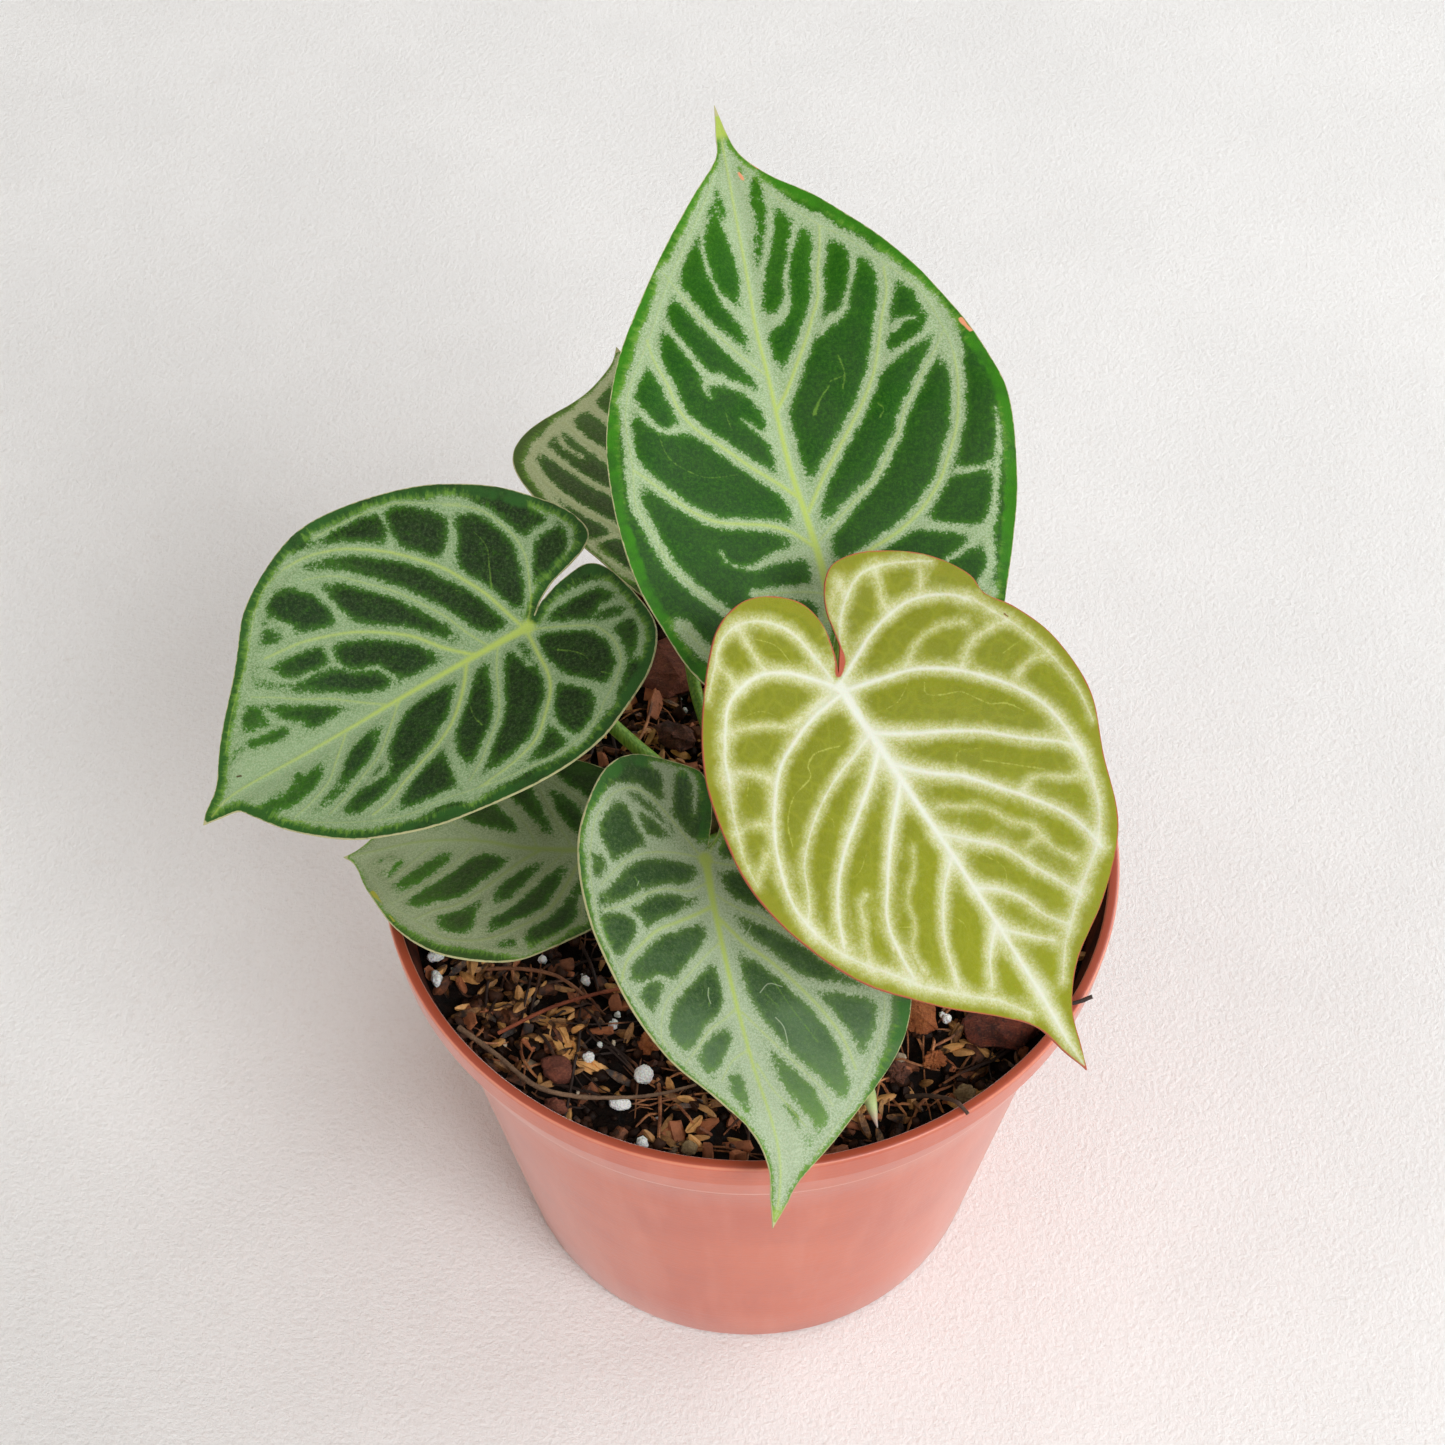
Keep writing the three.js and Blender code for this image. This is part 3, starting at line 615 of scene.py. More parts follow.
class Order(Enum):
    """How strong a vein is: the half width of its yellow core, in millimetres."""

    MIDRIB = 1.25
    STRONG = 0.55
    MAIN = 0.26
    COLLECTIVE = 0.12
    LINK = 0.0
    NET = 0.1
    SCAR = 0.08
    NICK = 0.02
    DARK = -1.0


MIRROR_RISE = 1.2
# What a mark's field reads far outside the mark, and a distance beyond every vein.
OUTSIDE = -9.0
FAR = 99.0


def path(text: str) -> list[tuple[float, float]]:
    """Read a drawn line, written as places in millimetres, each a group of numbers joined by commas."""
    return [tuple(float(value) for value in pair.split(",")) for pair in text.split()]


@dataclass(frozen=True)
class Vein:
    """One drawn vein: its order, its sampled line, and the half widths of its silver from start to end."""

    order: Order
    line: np.ndarray
    widths: tuple[float, ...]

    @classmethod
    def read(cls, text: str, step: float) -> "Vein":
        """Read a vein written as its order, its x,y pairs, a bar, and its half widths."""
        order, drawn = text.split(maxsplit=1)
        places, _, widths = drawn.partition("|")
        halves = tuple(float(width) for width in widths.split()) or (0.0,)
        return cls(Order[order.upper()], curve_points(path(places), step), halves)

    def mirrored(self) -> "Vein":
        """Give the same vein on the other side of the midrib, a little higher."""
        return Vein(self.order, self.line * (-1.0, 1.0) + (0.0, MIRROR_RISE), self.widths)

    def half_width(self, share: np.ndarray) -> np.ndarray:
        """Give the silver's half width at shares of the vein's length."""
        return np.interp(share, np.linspace(0, 1, len(self.widths)), self.widths)


def gap_to_line(places: np.ndarray, line: np.ndarray) -> tuple[np.ndarray, np.ndarray]:
    """Measure from places to a line of short pieces.

    Args:
        places: One row for each place.
        line: The line's points.

    Returns:
        Each place's distance from the line, and how far along it, 0 to 1, the nearest point lies.
    """
    first, span = line[:-1], np.diff(line, axis=0)
    offset = places[:, None, :] - first[None, :, :]
    share = np.clip((offset * span).sum(2) / np.maximum((span ** 2).sum(1), 1e-9), 0, 1)
    gaps = np.linalg.norm(offset - share[..., None] * span, axis=2)
    nearest = gaps.argmin(1)
    rows = np.arange(len(places))
    return gaps[rows, nearest], (nearest + share[rows, nearest]) / len(span)


def inside_outline(places: np.ndarray, outline: np.ndarray) -> np.ndarray:
    """Tell which places lie inside a closed outline."""
    first, second = outline, np.roll(outline, -1, axis=0)
    x, y = places[:, :1], places[:, 1:]
    spans = (first[:, 1] > y) != (second[:, 1] > y)
    rise = np.where(second[:, 1] == first[:, 1], 1e-9, second[:, 1] - first[:, 1])
    crossing = first[:, 0] + (y - first[:, 1]) / rise * (second[:, 0] - first[:, 0])
    return (spans & (x < crossing)).sum(1) % 2 == 1


@dataclass(frozen=True)
class LeafFinish:
    """The paint of one leaf's upper and lower face."""

    name: str
    patch: Colour
    # The patches' tone at the leaf's base: painted shade and haze, darker or greyer than the patch tone that
    # it drifts to towards the tip.
    deep: Colour
    flush: Colour
    margin: Colour
    silver: Colour
    silver_shade: Colour
    core: Colour
    net: Colour
    edge: Colour
    nick: Colour
    under: Colour
    under_vein: Colour
    weave: Colour
    grain: float = 2.0
    reach: float = 1.1
    fray: float = 2.6
    soft: float = 0.35
    silver_gain: float = 0.12
    line: float = 0.2
    web: float = 0.05
    bloom: float = 0.0
    lash: float = 0.7
    fleck: float = 0.26
    # How far the tip half goes to the flush green: painted light, lighter towards the tip.
    tip_light: float = 0.35
    gloss: float = 0.15
    border: float = 1.9
    roughness: float = 0.46
    glow: float = 0.05
    glow_depth: float = 0.0012

    def masks(self, graph: Graph, gain: float, **values: float) -> Outputs:
        """Place the vein masks on the leaf's own fields, with the silver widened by a gain."""
        given = dict(Grain=self.grain, Reach=self.reach, Fray=self.fray, Soft=self.soft, Border=self.border,
                     Line=self.line)
        given.update(values)
        fields = {name.title(): graph.read(name) for name in ("core", "net", "rim", "lap")}
        silver = graph.sum((graph.read("silver"), 1.0), (1.0, gain))
        return graph.use(vein_masks(), Silver=silver, **fields, **given).outputs

    def upper(self) -> Material:
        """Build the material of the upper face and the edge."""
        graph = Surface(self.name)
        masks = self.masks(graph, self.silver_gain)
        place = graph.place()
        # Painted light along the leaf, with noise between: the patches drift with the share of its length,
        # from the deep tone at the base, where leaves above shade it and the sky's haze lies on its curve, to
        # the patch tone and the flush green towards the tip.
        drift = graph.sum((graph.noise(place, 0.09, 3.0), 0.5), (graph.read("high"), 0.5))
        tone = graph.step(drift, 0.3, 0.62)
        patch = graph.mix(tone, self.deep, self.patch)
        fleck = graph.step(graph.noise(place, 1.1, 4.0, 0.75), 0.52, 0.72)
        patch = graph.tint(patch, fleck, 0.3, self.flush)
        patch = graph.mix(graph.step(graph.read("high"), 0.5, 0.95, 0.0, self.tip_light), patch, self.flush)
        weave = graph.step(graph.noise(place, 1.7, 4.0, 0.9), 0.42, 0.7, 0.0, self.fleck)
        patch = graph.mix(weave, patch, self.weave)
        patch = graph.tint(patch, masks["Flush"], 0.45, self.flush)
        patch = graph.tint(patch, masks["Web"], self.web, self.flush)
        margin = graph.mix(graph.step(masks["Cloud"], -0.12, 0.2, 0.1, 0.7), self.margin, patch)
        margin = graph.tint(margin, masks["Flush"], self.lash, self.net)
        ground = graph.mix(masks["Band"], patch, margin)
        ground = graph.tint(ground, masks["Net"], 0.6, self.net)
        shade = graph.times(masks["Speck"], graph.step(masks["Depth"], 0.0, 1.0, 0.9, 0.55))
        silver = graph.mix(shade, self.silver, self.silver_shade)
        silver = graph.tint(silver, masks["Depth"], self.bloom, self.core)
        painted = graph.mix(masks["Silver"], ground, silver)
        painted = graph.tint(painted, masks["Core"], 0.85, self.core)
        painted = graph.mix(masks["Edge"], painted, self.edge)
        painted = graph.mix(graph.step(graph.read("scar"), -0.1, 0.1, 0.0, 0.7), painted, self.silver)
        torn = graph.sum((graph.read("nick"), 1.0), (masks["Cloud"], 1.2))
        painted = graph.mix(graph.step(torn, -0.15, 0.15), painted, self.nick)
        velvet = graph.noise(place, 5.0, 2.0, 0.7)
        cells = graph.cells(place, 3.2)
        relief = graph.sum((velvet, 0.5), (cells, 0.35), (masks["Speck"], 0.25), (masks["Core"], 0.6))
        shine = graph.sum((masks["Silver"], 0.06), (velvet, 0.18), (1.0, self.roughness - 0.09))
        return graph.finish(Base_Color=painted, Roughness=shine, Normal=graph.bump(relief, 0.09),
                            Specular_IOR_Level=self.gloss, Subsurface_Weight=self.glow,
                            Subsurface_Scale=self.glow_depth)

    def lower(self) -> Material:
        """Build the material of the lower face, pale and matt with raised veins."""
        graph = Surface(f"{self.name}_under")
        masks = self.masks(graph, -0.8, Grain=1.6, Reach=2.4, Soft=0.8)
        cloud = graph.tones(self.under, self.flush, 0.12, 2.5)
        ground = graph.mix(0.3, self.under, cloud["Colour"])
        ground = graph.tint(ground, masks["Silver"], 0.45, self.under_vein)
        ground = graph.mix(masks["Core"], ground, self.under_vein)
        ground = graph.tint(ground, masks["Net"], 0.4, self.under_vein)
        ground = graph.mix(masks["Edge"], ground, self.edge)
        relief = graph.sum((cloud["Grain"], 0.6), (masks["Core"], 1.0))
        return graph.finish(Base_Color=ground, Normal=graph.bump(relief, 0.12), Roughness=0.55,
                            Specular_IOR_Level=0.3, Subsurface_Weight=self.glow,
                            Subsurface_Scale=self.glow_depth)


@dataclass(frozen=True)
class Leaf:
    """One blade and its stalk. A leaf drawing has x across and y towards the tip, from the stalk's joint."""

    name: str
    base: tuple[float, float, float]
    tip: tuple[float, float, float]
    foot: float
    stalk: float
    bend: tuple[tuple[float, float, float], tuple[float, float, float]]
    cup: float
    arch: float
    half: float
    right: str
    left: str
    veins: str
    roll: float = 0.0
    lobe: float = 3.0
    fold: float = 0.0
    seed: int = 1
    mirrored: bool = False
    tip_silver: float = 0.55
    tip_core: float = 0.0
    star: float = 1.7
    clear: float = 0.8
    blade_thickness: float = 0.45
    point_spacing: float = 1.15
    puff: float = 0.5
    crown_centre: tuple[float, float] = CROWN
    stalk_ring: float = 6.4
    stalk_foot: float = 109.0

    THICKEST = 2.6
    CUP_POWER = 1.3
    LOBE_REACH = 20.0
    VEIN_STEP = 0.8
    ROWS_BESIDE = (0.4, 0.95, 1.7)
    BLEND = 0.8
    LAP = 300.0
    STAR = 2.1
    SINK = 0.8
    TIP_START = (0.66, 0.94)
    BESIDE_SPACING = 0.36
    FILL_SPACING = 0.66
    RIDGE = 0.16
    WAVE = 1.5
    # The height and the reach of the keel under the midrib, of the ribs and of the joint's swelling.
    KEEL = (0.95, 1.9)
    RIB = (0.32, 0.7)
    HUB = (1.0, 3.4)
    STALK_STEPS = 44
    # Where on the stalk its swelling sits, and how far it reaches, as shares of the stalk.
    KNUCKLE = (0.93, 0.055)

    def axes(self) -> tuple[Vector, Vector, Vector, Vector, float]:
        """Give the leaf's place, its directions across, along and out of its face, and its length."""
        base = Vector(self.base)
        along = Vector(self.tip) - base
        span = along.length
        along.normalize()
        across = along.cross(Vector((0, 0, 1))).normalized()
        normal = across.cross(along)
        turn = Matrix.Rotation(-math.radians(self.roll), 3, along)
        across, normal = turn @ across, turn @ normal
        lift = math.asin(self.arch / span)
        turn = Matrix.Rotation(lift, 3, across)
        return base, across, turn @ along, turn @ normal, span * math.cos(lift)

    def outline(self) -> np.ndarray:
        """Draw the margin once round, from the notch up the right side and down the left."""
        right = curve_points(path(self.right), 0.9)
        left = curve_points(path(self.left), 0.9)
        return np.vstack([right[:-1], left[:0:-1]])

    def drawn_veins(self) -> list[Vein]:
        """Read every vein of the leaf drawing. A semicolon parts two veins."""
        drawn = [Vein.read(text, self.VEIN_STEP) for text in self.veins.split(";")]
        if self.mirrored:
            drawn += [vein.mirrored() for vein in drawn if vein.order is not Order.MIDRIB]
        return drawn

    def sheet(self, outline: np.ndarray, veins: list[Vein]) -> tuple[np.ndarray, list]:
        """Triangulate the flat blade, with edges along its margin and along every vein.

        Args:
            outline: The margin's points.
            veins: The drawn veins.

        Returns:
            The points and the triangles of the drawing.
        """
        points = [tuple(point) for point in outline]
        edges = [(k, (k + 1) % len(outline)) for k in range(len(outline))]
        beside = []
        for vein in veins:
            kept = vein.line[inside_outline(vein.line, outline)]
            if vein.order is Order.DARK or len(kept) < 2:
                continue
            start = len(points)
            points.extend(tuple(point) for point in kept)
            edges.extend((start + k, start + k + 1) for k in range(len(kept) - 1))
            tangent = np.gradient(kept, axis=0)
            side = np.stack([-tangent[:, 1], tangent[:, 0]], 1)
            side /= np.maximum(np.linalg.norm(side, axis=1, keepdims=True), 1e-9)
            thin = vein.order in (Order.NET, Order.SCAR, Order.NICK)
            rows = self.ROWS_BESIDE[:1] if thin else self.ROWS_BESIDE
            beside.extend(kept + side * sign * reach for reach in rows for sign in (1, -1))
        draw = np.random.default_rng(self.seed)
        low, high = outline.min(0), outline.max(0)
        across, up = np.meshgrid(np.arange(low[0], high[0], self.point_spacing),
                                 np.arange(low[1], high[1], self.point_spacing * 0.87))
        across[1::2] += self.point_spacing / 2
        filling = np.stack([across.ravel(), up.ravel()], 1)
        filling += draw.uniform(-0.12, 0.12, filling.shape)
        for candidates, spacing in ((np.vstack(beside), self.BESIDE_SPACING), (filling, self.FILL_SPACING)):
            candidates = candidates[inside_outline(candidates, outline)]
            cells = np.floor(candidates / spacing).astype(int)
            candidates = candidates[np.sort(np.unique(cells, axis=0, return_index=True)[1])]
            tree = KDTree(len(points))
            for k, point in enumerate(points):
                tree.insert((*point, 0.0), k)
            tree.balance()
            points.extend(tuple(point) for point in candidates if tree.find((*point, 0.0))[2] > spacing)
        flat, _, triangles, *_ = delaunay_2d_cdt([Vector(point) for point in points], edges, [], 1, 1e-4)
        return np.array([tuple(point) for point in flat]), [tuple(face) for face in triangles]

    def fields(
        self, flat: np.ndarray, outline: np.ndarray, veins: list[Vein], length: float,
    ) -> dict[str, np.ndarray]:
        """Measure the painted pattern's distance fields over the drawing.

        Args:
            flat: The drawing's points.
            outline: The margin's points.
            veins: The drawn veins.
            length: The leaf's length.

        Returns:
            Arrays by name: silver, core, net, scar and nick are positive inside a mark, rim, lap, spine
            and cord are distances, and high is the share of the length.
        """
        silver = np.zeros(len(flat))
        hub = np.hypot(flat[:, 0], flat[:, 1])
        core = self.star * np.exp(-(hub / self.STAR) ** 2) - self.SINK
        plain = {order: np.full(len(flat), OUTSIDE)
                 for order in (Order.NET, Order.SCAR, Order.NICK, Order.DARK)}
        spine = np.full(len(flat), FAR)
        cord = spine
        rim, round_share = gap_to_line(flat, np.vstack([outline, outline[:1]]))
        high = np.clip(flat[:, 1] / length, 0, 1)
        for vein in veins:
            gap, share = gap_to_line(flat, vein.line)
            half = vein.half_width(share)
            if vein.order in plain:
                plain[vein.order] = np.maximum(plain[vein.order], max(vein.order.value, 0.0) + half - gap)
                continue
            taper = 1 - 0.5 * share
            if vein.order is Order.MIDRIB:
                cord = gap
                taper = 1 - 0.8 * np.sqrt(share)
                half = half + self.tip_silver * rim * smoothstep(*self.TIP_START, high)
            core = np.maximum(core, vein.order.value * taper - gap - (0.4 if vein.order is Order.LINK else 0))
            silver += np.exp((half - gap) / self.BLEND)
            if vein.order is not Order.LINK:
                spine = np.minimum(spine, gap)
        silver = self.BLEND * np.log(np.maximum(silver, 1e-12))
        silver = np.minimum(np.minimum(np.maximum(silver, OUTSIDE), -plain[Order.DARK]), rim - self.clear)
        core = np.maximum(core, self.tip_core * smoothstep(0.9, 0.97, high) - 0.7)
        rim = rim - self.fold * np.exp(-(hub / 6.0) ** 2)
        return {"silver": silver, "core": core, "net": plain[Order.NET], "scar": plain[Order.SCAR],
                "nick": plain[Order.NICK], "rim": rim, "lap": round_share * self.LAP, "high": high,
                "spine": spine, "cord": cord}

    def blade(self, finish: LeafFinish) -> Piece:
        """Model the blade: a fine curved sheet, quilted between its veins, with a keel under them."""
        base, across, along, normal, length = self.axes()
        outline = self.outline()
        veins = self.drawn_veins()
        flat, triangles = self.sheet(outline, veins)
        marks = self.fields(flat, outline, veins, length)
        x, y = flat[:, 0], flat[:, 1]
        rise = self.cup * np.abs(x / self.half) ** self.CUP_POWER
        rise -= self.arch * (np.maximum(y, 0) / length) ** 2
        rise += self.lobe * (np.maximum(-y, 0) / self.LOBE_REACH) ** 1.5
        quilt = self.puff * (1 - np.exp(-(marks["spine"] / 2.4) ** 2)) * smoothstep(0, 5, marks["rim"])
        ridge = self.RIDGE * smoothstep(-0.5, 0.2, marks["core"])
        wave = np.array([noise.noise(Vector((a * 0.07, b * 0.07, 3.1 * self.seed))) for a, b in flat])
        wave *= self.WAVE * (1 - smoothstep(0, 16, marks["rim"])) * smoothstep(2, 9, np.hypot(x, y))
        surface = rise + quilt + ridge + wave
        places = (np.array(base) + x[:, None] * np.array(across) + y[:, None] * np.array(along)
                  + surface[:, None] * np.array(normal))
        piece = mesh_piece(f"blade_{self.name}", places, triangles)
        for name in ("silver", "core", "net", "scar", "nick", "rim", "lap", "high"):
            store(piece.data, name, marks[name])
        keel = self.KEEL[0] * np.clip(1 - marks["cord"] / self.KEEL[1], 0, 1) ** 0.8
        keel *= 1 - 0.75 * np.clip(y / length, 0, 1)
        keel += (self.RIB[0] * np.exp(-(marks["spine"] / self.RIB[1]) ** 2)
                 + self.HUB[0] * np.exp(-(np.hypot(x, y) / self.HUB[1]) ** 2))
        depth = (self.blade_thickness + keel * smoothstep(0, 2.5, marks["rim"])) / self.THICKEST
        group = piece.vertex_groups.new(name="thickness")
        for k, weight in enumerate(np.clip(depth, 0, 1)):
            group.add([k], float(weight), "REPLACE")
        piece.data.materials.append(finish.upper())
        piece.data.materials.append(finish.lower())
        apply_modifier(piece, "SOLIDIFY", thickness=self.THICKEST * MM, offset=-1.0, vertex_group="thickness",
                       material_offset=1, material_offset_rim=0)
        piece.vertex_groups.clear()
        smooth(piece, 55)
        return dress(piece, piece.data.materials[0], [f"leaf_{self.name}"])

    def petiole(self, finish: Material) -> Piece:
        """Model the stalk: a round tapering stem, swollen just below the blade."""
        base, _, _, normal, _ = self.axes()
        turn = math.radians(self.foot)
        foot = Vector((self.crown_centre[0] + self.stalk_ring * math.cos(turn),
                       self.crown_centre[1] + self.stalk_ring * math.sin(turn), self.stalk_foot - 1.0))
        seat = base - normal * (0.5 * self.blade_thickness + 0.35)
        points = bezier(foot, Vector(self.bend[0]), Vector(self.bend[1]), seat, self.STALK_STEPS)
        radii = []
        for k in range(len(points)):
            t = k / self.STALK_STEPS
            knuckle = math.exp(-((t - self.KNUCKLE[0]) / self.KNUCKLE[1]) ** 2)
            sheath = 0.35 * math.exp(-(t / 0.09) ** 2)
            close = math.sqrt(max(0.06, min(1.0, (1 - t) / 0.03)))
            radii.append(self.stalk * (1.08 - 0.22 * t + 0.3 * knuckle + sheath) * close)
        route = Route(points, radii)
        piece = strands(f"petiole_{self.name}", [route], 16)
        store(piece.data, "along", route.along(vertices_of(piece.data)))
        smooth(piece, 60)
        return dress(piece, finish, [f"stalk_{self.name}"])


@dataclass(frozen=True)
class PetioleFinish:
    """The stalks' skin: waxy green with fine lengthwise streaks and flecks, browner at the foot."""

    shade: Colour = srgb(92, 138, 42)
    green: Colour = srgb(138, 176, 66)
    top: Colour = srgb(168, 190, 92)
    foot: Colour = srgb(134, 112, 62)
    fleck: Colour = srgb(196, 204, 140)

    def build(self) -> Material:
        """Build the material."""
        graph = Surface("petiole_skin")
        streak = graph.noise(graph.place((1, 1, 0.06)), 2.4, 3.0, 0.6)
        along = graph.read("along")
        fleck = graph.step(graph.cells(graph.place((1, 1, 0.4)), 0.9), 0.0, 0.12, 1.0, 0.0)
        body = graph.mix(graph.step(streak, 0.36, 0.64), self.shade, self.green)
        body = graph.tint(body, graph.step(along, 0.84, 0.97), 0.6, self.top)
        body = graph.tint(body, graph.step(along, 0.02, 0.2, 1.0, 0.0), 0.7, self.foot)
        body = graph.tint(body, fleck, 0.5, self.fleck)
        return graph.finish(Base_Color=body, Roughness=graph.sum((streak, 0.2), (1.0, 0.3)),
                            Normal=graph.bump(graph.sum((streak, 1.0), (fleck, 0.3)), 0.1),
                            Subsurface_Weight=0.12, Subsurface_Scale=0.002)


# Pot


@dataclass(frozen=True)
class Pot:
    """The tapered nursery pot: a plain wall, a banded rim with a flat lip, and a floor with drain holes."""

    height: float = 118.0
    rim_radius: float = 75.0
    base_radius: float = 53.0
    band_height: float = 17.5
    band_foot_radius: float = 71.2
    band_step: float = 3.0
    ledge_foot: float = -1.2
    ledge_top: float = 0.6
    lip: float = 2.2
    wall: float = 1.8
    floor: float = 2.4
    sides: int = 176
    drain_holes: int = 6
    drain_radius: float = 4.5
    drain_circle: float = 36.0
    drain_sides: int = 28

    HEEL = 1.4
    HEEL_TURNS = (0, 0.5, 1.0, 1.5)
    BODY_RINGS = 6
    # Drawn forms of the wall: how far out and how far up each place lies from the form's start.
    BAND_FOOT = ((-0.5, 0.05), (-0.12, 0.25), (0.04, 0.6), (0.12, 1.2))
    BAND_LINE = ((-1.02, -8.0), (-0.98, -7.7), (-0.62, -7.35), (-0.56, -6.9))
    LIP_OUTSIDE = ((-0.06, -1.4), (0, -0.8), (-0.14, -0.3), (-0.5, -0.05), (-0.9, 0))
    LIP_INSIDE = ((0.7, 0), (0.25, -0.12), (0, -0.5), (-0.04, -1.2))
    # Where the inner wall's painted shade starts under the band's foot and stops under the rim's top, and how
    # far out from the inner wall a face may lie and still take it, in millimetres.
    SHADE_FOOT = 3.0
    SHADE_TOP = 1.0
    SHADE_REACH = 0.4

    def inner_radius(self, height: float) -> float:
        """Give the radius of the inner wall at a height: it steps out over a ledge where the band starts."""
        band_foot = self.height - self.band_height
        heights = (self.floor, band_foot + self.ledge_foot, band_foot + self.ledge_top, self.height)
        radii = (self.base_radius - self.wall, self.band_foot_radius - self.band_step - self.wall,
                 self.band_foot_radius - self.wall, self.rim_radius - self.lip)
        return float(np.interp(height, heights, radii))

    def profile(self) -> list[tuple[float, float]]:
        """Draw the wall's outline, from the underside over the lip to the floor inside."""
        def drawn(radius: float, height: float, form: Points) -> list[tuple[float, float]]:
            """Set a drawn form at a radius and a height."""
            return [(radius + out, height + up) for out, up in form]

        foot = self.height - self.band_height
        base, rim, top = self.base_radius, self.rim_radius, self.height
        shoulder = self.band_foot_radius - self.band_step
        heel = [(base - self.HEEL + self.HEEL * math.sin(turn), self.HEEL - self.HEEL * math.cos(turn))
                for turn in self.HEEL_TURNS]
        body = [(base + (shoulder - base) * k / self.BODY_RINGS, 1.6 + (foot - 2.4) * k / self.BODY_RINGS)
                for k in range(1, self.BODY_RINGS + 1)]
        band = [(shoulder + 0.15, foot - 0.5)] + drawn(self.band_foot_radius, foot, self.BAND_FOOT)
        band += drawn(rim, top, self.BAND_LINE + self.LIP_OUTSIDE)
        band += drawn(rim - self.lip, top, self.LIP_INSIDE)
        ledge = (foot + 8, foot + self.ledge_top, foot + self.ledge_foot)
        inside = [(self.inner_radius(z), z) for z in (*ledge, 60, 20, self.floor + 1.6)]
        return heel + body + band + inside + [(self.inner_radius(self.floor) - self.HEEL, self.floor)]

    def darken(self, pot: Piece, wall_shade: Material) -> None:
        """Paint shade on the inner wall above the mix, up to the lip: its faces take the dark, matt
        painted-shade material.
        """
        pot.data.materials.append(wall_shade)
        for face in pot.data.polygons:
            x, y, z = (part / MM for part in face.center)
            above = self.height - self.band_height - self.SHADE_FOOT < z < self.height - self.SHADE_TOP
            if above and math.hypot(x, y) < self.inner_radius(z) + self.SHADE_REACH:
                face.material_index = 1

    def build(self, finish: Material, wall_shade: Material) -> Piece:
        """Turn the pot, cut its drain holes and paint shade on its inner wall.

        Args:
            finish: The plastic's material.
            wall_shade: The inner wall's dark, matt material, painted shade.

        Returns:
            The finished pot.
        """
        pot = turned_piece("nursery_pot", self.profile(), self.sides)
        for k in range(self.drain_holes):
            turn = 2 * math.pi * (k + 0.5) / self.drain_holes
            x, y = self.drain_circle * math.cos(turn), self.drain_circle * math.sin(turn)
            clear_selection()
            bpy.ops.mesh.primitive_cylinder_add(
                vertices=self.drain_sides, radius=self.drain_radius * MM, depth=4 * self.floor * MM,
                location=(x * MM, y * MM, 0))
            drill = adopt("drill")
            apply_modifier(pot, "BOOLEAN", object=drill, operation="DIFFERENCE", solver="EXACT")
            bpy.data.objects.remove(drill)
        smooth(pot, 38)
        dress(pot, finish, ["pot"])
        self.darken(pot, wall_shade)
        return pot


